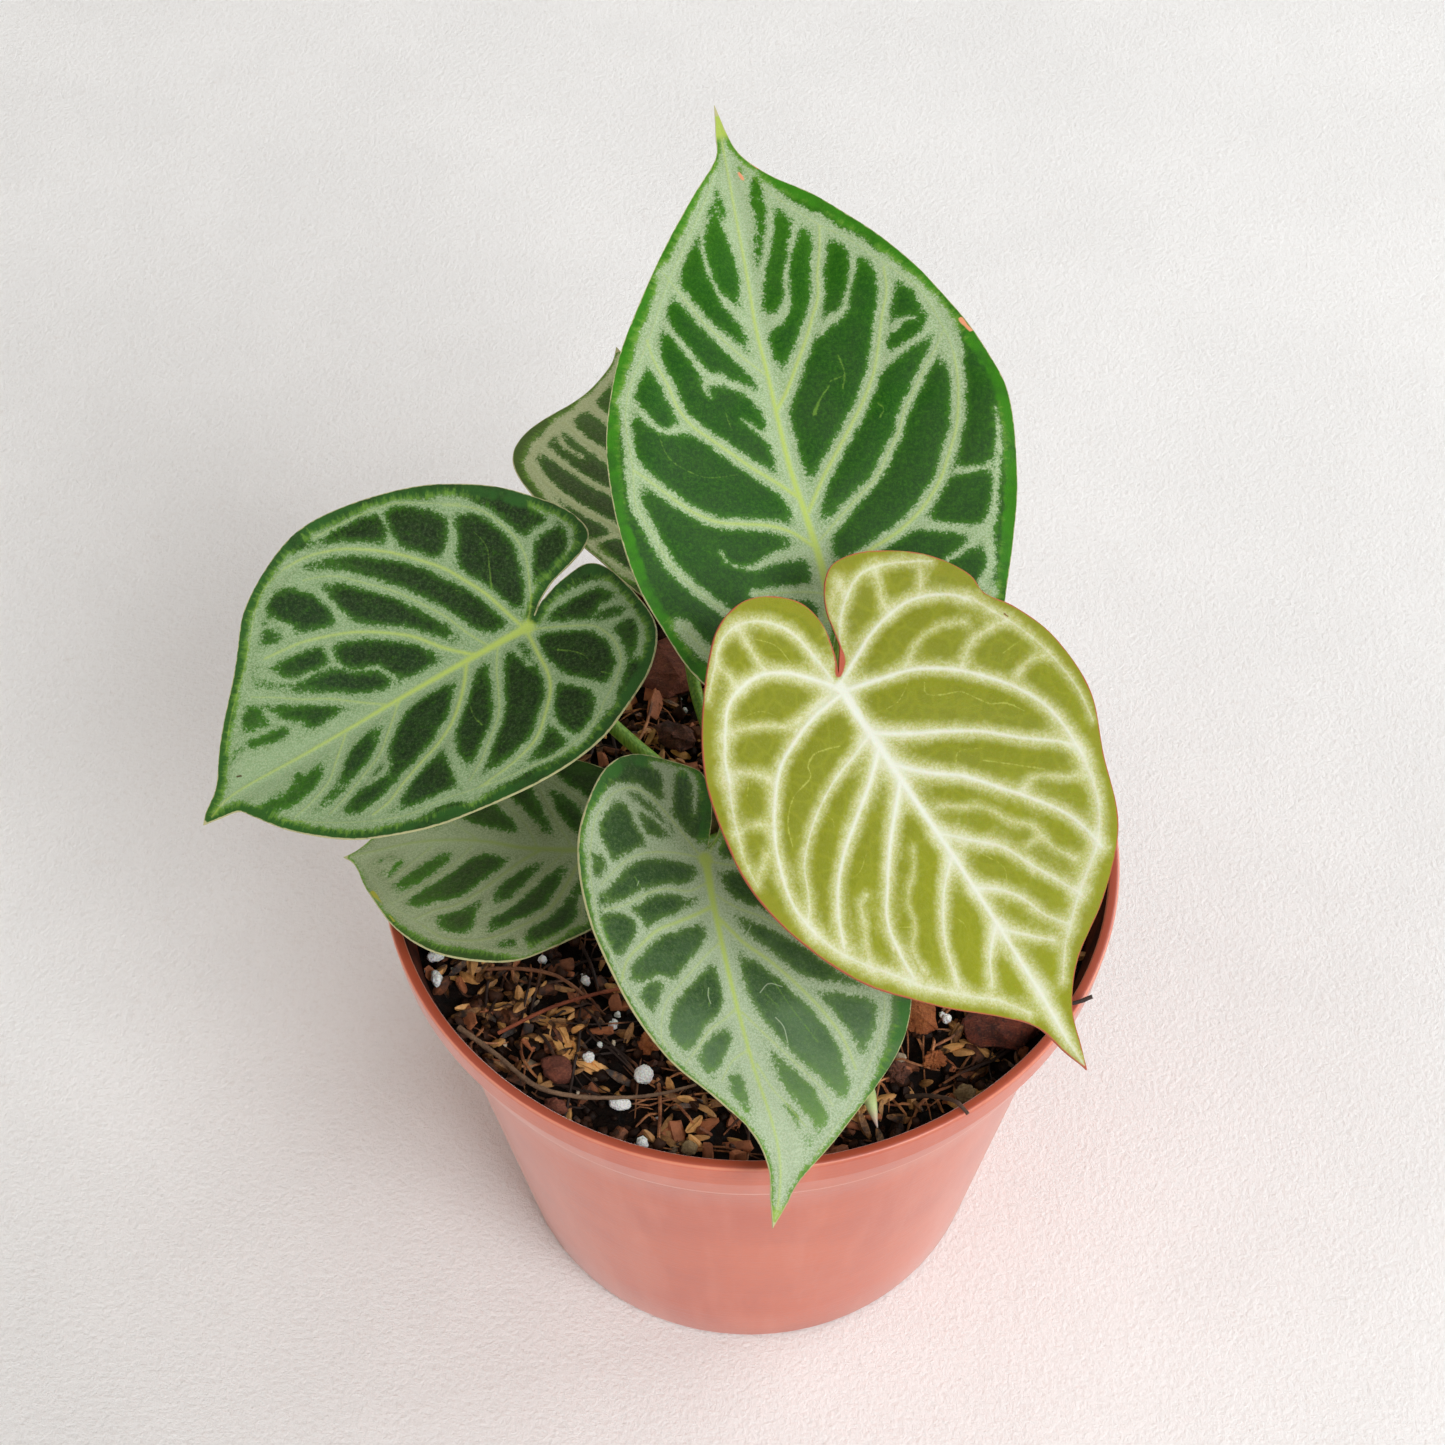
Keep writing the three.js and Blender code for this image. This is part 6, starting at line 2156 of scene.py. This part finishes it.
YOUNG_VEINS = """
midrib 0,0 0.3,20 0,40 0,60 0,74 0,83|1.7 1.6 1.3 1.2 1.4 0.8;
strong -1,1 -8,3 -14,5 -20,9 -24,13 -28,18 -31,24 -32,30 -32,36|1.2 0.8 0.9 1.0 1.2;
strong 1,1 8,1.5 14,3 20,5.5 25,10 29,15 32,21 33.7,27 33,33|1.2 0.9 1.0 1.0 1.0;
strong -1,-1 -6,-3 -11,-5 -17,-6 -22,-5.5 -27,-3 -30,0|1.2 0.8 0.8 0.8;
strong 1,-1 4,-4.5 8,-8 13,-10.3 18,-10.3 22,-9 25,-6 28,-2 30,2|1.5 1.1 1.0 1.0;
strong 0,10 -6,14 -12,17.5 -18,21.5 -24,27 -29,31 -32,34|1.6 1.1 0.9 1.0;
strong 0,17 -5,22 -10,26 -15,32 -19,37 -23,43 -24.5,48 -25,52|1.7 1.3 1.0 1.0 1.1;
strong 0.5,13 6,17 12,20.5 18,24 23,28 27,33 29.5,38|1.6 1.2 0.9 1.2;
strong 0.5,20 5,24 10,28.5 15,34 19,39 20.5,45 21,50|1.7 1.2 0.9 1.0;
main 0,32 -4,36 -9,41 -12,47 -15,53 -17,57|1.5 1.1 0.8 0.9;
main 0,44 -4,47 -7,51 -9,56 -12,60|1.3 0.8 0.6;
main 0,53 -4,57 -8,61|1.2 0.8 0.5;
main 0.5,10 6,11.5 12,13 18,15.5 23,18.5 27,22 30,27 33,30.5|1.3 0.8 0.7 0.5 0.6;
main 0.5,37 5,40.5 9,45 12,50 14,56.5|1.6 1.1 0.8 0.9;
main 0.5,52 5,56 8,60.5|1.4 1.1 0.7;
main -1,-2 -4,-5.5 -7,-10 -11,-13.5 -15,-15 -20,-14 -25,-11.5 -28,-9.5|1.0 0.7 0.6 0.3;
main 0.5,-2 1,-8 3,-14 7,-18 12,-20 17,-19 20,-16.5 25,-12|1.3 1.0 0.8 0.6 0.3;
collective -32,36 -30.5,42 -28,47 -24,51.5 -18,55.5 -13,59.5 -9,63 -5,68|1.1 1.0 1.1 0.8 0.5;
collective 33,33 31,38 28,42.5 24,47.5 21,51.5 17,55.5 12,60 8,63.5 4,69|0.9 1.0 1.1 0.9 0.6;
collective -37.5,32 -38.3,25 -38,19 -37,14 -35,9 -33,5 -31,1|0.0 0.2 0.3 0.5 0.7;
collective 30,2 32,5 34.5,9.5 36.5,14 37.5,20|0.9 0.5 0.3 0.0;
link -3,28 -7,31 -10,33 -13,38 -16,41 -17,46 -19.5,51|0.1 0.2 0.2 0.1 0.2 0.5;
link -16,43.5 -13,43.5|0;
link -31,40 -26,37 -22,34.3 -18.5,34.5|0.4 0.2 0.2 0.5;
link -22,9.5 -26,7 -30,6.8 -34,7.5|0.6 0.4 0.4;
link -37,17 -33,16 -30,17|0.2 0.2 0.4;
link -13,3.5 -17,1.3 -22,1 -27,3.2|0.3 0.1 0.1 0.2;
link -16,-6.5 -16,-9 -18,-14|0.5 0.4 0.3;
link -23,-6 -25.5,-9.5|0.3;
link -5,-8 -6.5,-13 -10.5,-16|0.3 0.2 0.2;
link -10.5,-13.5 -10,-17|0.2;
link 20,33 22,33.8 23.5,37 26,41 27,44.5|0.2 0.4 0.2 0.7;
link 23,6 25,3.7 28,1.5 30,1|0.8 0.5 0.6;
link 29,12 32,10.5 35.5,10.3|0.5 0.2 0.2;
link 3,0 9,0.4 14,0 18,-2.5 23,-4.5 26.5,-5|1.0 0.7 0.4 0.3 0.5;
link 11.5,-10.5 12,-15 12,-20|0.6 0.5 0.6;
link 18,-10.5 19,-14 20,-16.5|0.6 0.4;
link 32.5,16.5 36.5,19|0.3 0;
link 6,31 9,35 13,38 15,43 18,46 18.5,51|-0.1 0.05 0 0.1 0.2;
net -24,34 -19,29.5 -15,26|0;
net -27,23 -25,20 -22,18 -19,13.5 -16,12 -13,10 -14,8|0;
net 15,43 18,41|0;
net 7,8.5 12,7 15,8 16,10 21,11 25,14 27,18|0.05;
net 18,16 17,18.5 18,20|-0.05;
net -16,24 -12,22 -10,24|-0.05;
net 6,-9 7,-13 10,-16|0;
net 14,-2 17,-5 22,-6|-0.05;
net 24,28 19,29 15,27|-0.05;
net -5,40 -7,44 -6,47|-0.05;
net 8,44 6,48 7,51|-0.05;
net -12,6 -8,8 -5,8|-0.05;
net -30,12 -34,12|-0.05;
net 27,4 29,6|-0.05;
nick -34.4,6.2 -34.7,7|0.15;
nick -33,9.8 -33.2,10|0.05
"""

FRONT_VEINS = """
midrib 0,0 0.3,10 0.2,20 -0.3,30 -1.2,40 -2.5,50 -3,58 -1.5,65 0,68|1.3 2.2 2.2 2.2 2.6 3.0 3.0 1.5;
strong 0,9 4,10.5 9,12 14,13.5 18,16 22,19 24.5,23|1.6 1.5 1.1 1.0 1.2;
strong -0.5,12 -4,17 -8,21 -12,26 -16,32 -19,38 -20.5,44|1.6 1.5 1.1 1.2 1.7;
main 0,16 4,18.5 8,21.5 12,24.5 15,27 17,31 17.5,35|1.9 1.5 1.2 1.4 1.5;
main 0,29 3,31 7,33 10,36 13,38.5|1.9 1.0 0.6 0.9;
main -1,37 3,39 6,42.5|2.2 1.5 1.2;
main 0.5,4.5 5,6 10,5.5 15,6.5 20,8.5 25,9.5|1.6 0.9 0.5 0.6 0.5;
main 1,-0.5 6,-1.5 12,-1.7 17,-0.5 21,2 25,5|1.4 1.3 0.9 0.8 1.0;
main 1,-1 3,-4 6,-8 9,-11.5 13,-14 17,-13.5 20,-11.5 23,-8 25,-3|0.9 0.7 0.6 0.9 1.0;
main -1,30 -4,34 -7,38 -10,42 -13,46 -15,50|1.7 1.2 0.8 0.9 1.5;
main -2,40 -4,45 -6,48 -9,53|2.0 1.4 1.5;
main -1,0.5 -4,1.5 -10,3 -17,7 -23,13 -27,20 -28,27|1 0.9 1.0;
main -0.5,7 -4,10 -9,13 -15,18 -21,24 -27,29|1.4 1.0 1.0;
main -1,-1 -4,-5 -8,-9 -13,-10 -18,-6|0.9 0.8;
collective 25,-3 26.5,2 27,8 26.7,14 25,19 23,24 21,28 18,33 14,38 10,42 6,46 3,50 0.5,55|0.5 0.4 0.4 0.7
  1.2 1.4 1.5 1.4;
collective -18,-6 -23,2 -27,11 -29,20 -28.5,28 -27,36 -23.5,43 -19.5,49 -15,53.5 -9.5,58.5|0.6 0.7 1.0 1.3
  1.6;
link 14.5,23.2 17,22.8 21,24.5|0.3 0.1 0.4;
link 5,-3.5 8,-6.5 11,-9 14,-10.5 17,-13|0.3 0.2 0.3 0.6;
link 8,-2.5 11,-3.5 13.5,-6.5 14.5,-10|0.9 0.4 0.4;
link 6,-11 5.6,-14 5.3,-17 8.5,-18.8|0.6 0.9 0.8 0.2;
link 5.3,-17 3,-18 1,-17.8 -0.3,-15.5 0,-12.5 0.8,-9|0.8 0.5 0.2 0.5 0.4 0.0;
link -12.5,26.5 -18,28 -23,29.7 -28,31|0.9 0.6 0.8;
link 18.5,15.8 18,12 20.5,9|0.5 0.3 0.4;
link 21,2 22.5,-2 24,-5|0.4;
net -14,38 -12,34 -10,30 -8,25|0.05 0 0.05;
net -8,30 -6,27.5|0;
net 6,28.5 5.3,25|0;
net 15.8,5 16.8,3|0;
dark -7.8,53 -7,50 -6,48.8|0.2 0.7 0.5;
dark 2,48.5 3,45 3.7,42|0.6 1.1 1.0;
dark -12,48 -8,42|0.6 0.9;
dark 24,2 24.8,-1|0.5 0.8;
scar -8.5,37 -8.2,34 -7,32;
scar -9.5,26.5 -7,25.5 -5,27;
scar 5.5,28 5.8,26.5 5.3,25;
scar 16,4 16.5,4.8;
scar -6,14 -4.8,15.5
"""

LOW_VEINS = """
midrib 0,0 0,10 0.5,18 2,25 2.5,32 2,40 1,47 0.3,52|1.5 2.2 2.4 2.4 2.2 2.0;
strong 0,5 -6,7.5 -12,10 -17,13 -20,17 -22.5,22 -23,27 -22,32 -19,36|1.4 1.0 1.0 1.2 1.2 1.3;
strong 0,14 -3,18 -7,22 -11,26 -14,30 -15,34 -17,38|1.7 1.3 1.0 1.2 1.6;
main 0,9 -4,12 -8,15 -12,18 -15,21 -17,24.5|1.4 0.6 0.5 0.7;
main 1,28 -3,31 -7,35 -10,39 -13,43|1.6 0.8 0.6 1.0;
main 1,36 -3,40 -7,44|2.0 1.3 1.2;
main 1,8 6,11 11,13.5 16,16|1.7 0.9 0.7;
main 1,15 6,17.5 10,21 14,25.5|1.7 1.1 1.0;
main 2,26 5,30 9,35|1.8 1.3 1.2;
main 0,0 6,3 12,7 16,13|1.2 0.9 0.9;
main 0,0 -6,1 -12,5 -18,5.5|1.2 0.8 0.4;
collective -19,36 -14,42 -9,45.5 -4,48.5|1.4 1.5 1.2;
collective -18,5.5 -23,10 -26.5,15 -26,21 -24,26|0.1 0.2 0.3 0.5;
collective 16,13 17.5,19 16,26 12,34 8,41 4,47|0.8 1.0 1.1 1.2;
link -10,24.3 -16,24 -22,26|0.8 0.6 0.8;
link -26,16.5 -22,17.3 -20,17|0.5 0.4;
link 0,-1 -4,-5 -8,-5 -12,-1|0.5;
link 0,-1 4,-5 8,-5 12,0|0.5;
nick -9.5,47 -13,44.6|0.35 0.2;
nick -16,43 -17.5,42|0.2;
dark -5.5,44 -2.5,42|0.8 1.0;
dark -2,47 -1,44|0.4 0.7;
dark -9,33.3 -8,38.5|0.2
"""

REAR_VEINS = """
midrib 0,0 0,20 0,45 0,67|1.4 2.0 2.2 1.4;
strong 0,4 -5,6 -10,12 -14,17 -18,21 -22,26 -25,31 -26,35|1.4 1.0 0.9 0.9;
strong 0,22 -8,32 -11,38 -14,42 -16.5,48|1.7 1.2 1.2 1.3;
main 0,12 -10,24 -14,28 -18,33 -21,37 -23.5,41|1.4 0.8 0.7 0.9;
main 0,36 -5,44 -8,49 -10,54|1.6 1.2 1.0;
main 0,0 -5,1 -11,1.5 -16,6|1.2 0.7;
collective -16,6 -20,13 -24,24 -26.5,34 -25,39 -20,45 -15,50 -8,56 -3,62|0.5 0.6 0.8 1.0 1.0;
link -13,13 -19,11.5|0.5;
link -15,36 -18,40 -19,45|0.2 0.3;
link 0,-1 -4,-5 -8,-4|0.5
"""

LEAVES = (
    Leaf(
        name="back", base=(15.3, 10.7, 178), tip=(-6.6, 111.6, 216), foot=15, stalk=2.0,
        bend=((13, 17, 132), (17, 15, 158)), cup=7, arch=5, half=40, seed=3, tip_silver=0.8, tip_core=2.4,
        clear=1.1,
        right="0.5,-2.5 3,-8 4.8,-14 8.5,-19 14,-21 22,-18 29,-11 33,-2 36.6,8 40,20 41.6,34 40.1,44 "
              "34.8,58 25.7,73.5 15.3,85.3 7,92.7 2.1,99.6 0,109.9",
        left="0.5,-2.5 -1.8,-8 -3.8,-14 -7.5,-18.5 -13,-20 -20.5,-17 -28.5,-8.5 -33,1.5 -36,11 -37.3,25 "
             "-36,40 -31,55 -24.5,67 -16,80 -8,90.5 -2.2,98 -1.1,103 0,109.9",
        veins=BACK_VEINS),
    Leaf(
        name="left", base=(-43.4, 18.4, 165), tip=(-106, -14.2, 145), foot=172, stalk=1.6,
        bend=((-15, 18.5, 113.5), (-33, 15.5, 141)), cup=9.5, arch=5, half=38, roll=8, lobe=5, seed=5,
        tip_silver=1.0, clear=2.2,
        right="1.5,-2.4 3.6,-5 5.3,-9 6,-14 7.2,-18 10,-19.6 16,-17.8 22,-13.3 28.5,-6.5 34,2 38,13 "
              "39.6,25 37.4,36 32,45.5 23,53 12,62.7 5,67.5 2,71.4 0,73.2",
        left="1.5,-2.4 3,-4.6 4.1,-8.5 4.3,-12.5 3.6,-16.2 0,-19 -8,-20.4 -18,-20.1 -25,-15 -29,-7.5 "
             "-32.5,3 -33.4,15 -31.3,28 -27.5,39.5 -21.5,49.5 -12,59 -5,63.9 -2,66 -0.8,70 0,73.2",
        veins=LEFT_VEINS),
    Leaf(
        name="young", base=(15.9, -13.4, 186), tip=(61.3, -65.6, 138), foot=312, stalk=2.0,
        bend=((13, -4, 128), (16, -17, 158)), cup=5, arch=6, half=40, seed=7, tip_silver=0.2, fold=0.5,
        star=0.9,
        right="-1.2,-2.3 -3,-6 -3.9,-11.5 -2,-17 4,-21.5 10,-22.9 17,-20.5 25,-13 32,-3.5 37.5,10 38.6,23 "
              "35.5,34.5 30,45.5 23,53.5 17.5,59 9.5,66 4,72 1.6,79 0,84",
        left="-1.2,-2.3 -3.6,-3.8 -5,-8.5 -6,-13.6 -8.4,-17.8 -12,-19.4 -19,-17.4 -27,-12 -32.6,-4 "
             "-33.4,1 -37,6.5 -40.6,16 -40,28 -35.5,39 -30,51 -20,60 -10,66.2 -4.5,72.5 -2,79.5 0,84",
        veins=YOUNG_VEINS),
    Leaf(
        name="front", base=(-9.1, -26.3, 150), tip=(3.5, -90.2, 123), foot=262, stalk=1.6,
        bend=((-1, -8, 120), (-7, -22, 136)), cup=7.5, arch=5, half=32, roll=20, seed=9, tip_silver=1.0,
        tip_core=1.0,
        right="-1.2,-2.4 -2.8,-8 -3.2,-13 -1.8,-17 4,-19.3 12,-20.5 18.5,-18 24,-11 27.7,-3 29,6 27.4,17 "
              "23,28 16,38 8,45.2 1.5,52.6 -0.7,59 0,65 0.5,70",
        left="-1.2,-2.4 -3.4,-4.6 -5,-9 -6.4,-13.4 -9.6,-16.4 -14.5,-15.6 -21,-10 -27,-1 -31.5,9 -33.6,20 "
             "-33.2,31 -30,40 -24,47.5 -15,55.5 -6,62.4 -3,66 0.5,70",
        veins=FRONT_VEINS),
    Leaf(
        name="low", base=(-27.8, -8.8, 128), tip=(-81.6, -8.3, 126), foot=216, stalk=1.4,
        bend=((-11, 3, 113), (-22, -6, 117)), cup=4, arch=4, half=29, seed=11, tip_silver=0.9,
        right="0,-2.4 2.6,-6.6 7,-9 13,-6 18,0 20.8,8 21.2,16 19.4,26 14,37.6 8,44.6 3.6,48.4 1,51.5 "
              "0,53.6",
        left="0,-2.4 -2.6,-6.8 -7.4,-9 -13,-5.6 -18.6,1.5 -25,10 -28.4,18 -27.9,27 -24.2,35.5 -18,42.5 "
             "-9,48 -3,50.6 -1,52 0,53.6",
        veins=LOW_VEINS),
    Leaf(
        name="rear", base=(-12.2, 52.9, 140), tip=(-28.9, 121.2, 138), foot=100, stalk=1.4,
        bend=((-10, 29, 112), (-14.5, 43, 122)), cup=4, arch=4, half=30, seed=13, mirrored=True,
        right="0,-2.4 2.6,-7 7.5,-8.5 13,-4.5 20,4.5 25.4,15 28.4,27 26,39 19,48 11,55.6 5,61.4 1.6,66 "
              "0,70.2",
        left="0,-2.4 -2.6,-7 -7.4,-7.8 -12,-2 -18,7.6 -24,18 -28.4,28 -30,37 -26,45 -18,51.3 -10,57 "
             "-5,61.6 -1.8,65.8 0,70.2",
        veins=REAR_VEINS),
)


def finish_of(leaf: Leaf) -> LeafFinish:
    """Choose a leaf's paint: each grown leaf differs a little from the next."""
    if leaf.name == "young":
        return young_finish()
    # Each leaf's deep tone is painted light at its base: darker on the left and front leaves, shaded by the
    # leaves above; tip_light lightens the front leaf's tip.
    changes = {
        "back": dict(weave=srgb(72, 134, 30), fleck=0.42, margin=srgb(57, 128, 16)),
        "left": dict(patch=srgb(24, 50, 20), deep=srgb(20, 40, 10), margin=srgb(46, 92, 34), border=2.0,
                     nick=srgb(74, 58, 30), silver=srgb(156, 178, 138), silver_shade=srgb(110, 140, 88)),
        "front": dict(patch=srgb(84, 112, 76), deep=srgb(44, 74, 34), margin=srgb(60, 112, 46), border=1.8,
                      tip_light=0.75, flush=srgb(108, 150, 56), silver=srgb(181, 196, 165),
                      silver_shade=srgb(138, 160, 120)),
        "low": dict(patch=srgb(50, 70, 30), deep=srgb(40, 60, 26), margin=srgb(62, 94, 38), border=2.2,
                    core=srgb(146, 162, 90), nick=srgb(170, 166, 62), silver=srgb(160, 170, 136),
                    silver_shade=srgb(124, 139, 96), silver_gain=0.3),
        "rear": dict(patch=srgb(62, 82, 42), deep=srgb(52, 72, 36), margin=srgb(80, 106, 42), border=2.2,
                     core=srgb(172, 182, 124), silver=srgb(194, 202, 158), silver_shade=srgb(160, 172, 122)),
    }
    return mature_finish(f"{leaf.name}_blade", **changes.get(leaf.name, {}))


def main() -> None:
    """Build the stage, the pot, the mix and the plant, and report each piece."""
    logging.basicConfig(level=logging.INFO, format="%(name)s: %(message)s")
    noise.seed_set(NOISE_SEED)
    stage = Stage()
    stage.camera()
    stage.floor()
    stage.light()
    pot = Pot()
    pot.build(PotFinish(pot=pot).build(), INNER_WALL_SHADE.build())
    soil = Soil()
    soil.bed(pot, BedFinish().build())
    Litter(soil).build()
    Lumps().build()
    for twig in TWIGS:
        twig.build()
    Crown().build()
    Sprout().build()
    skin = PetioleFinish().build()
    for leaf in LEAVES:
        leaf.petiole(skin)
        leaf.blade(finish_of(leaf))


if __name__ == "__main__":
    main()
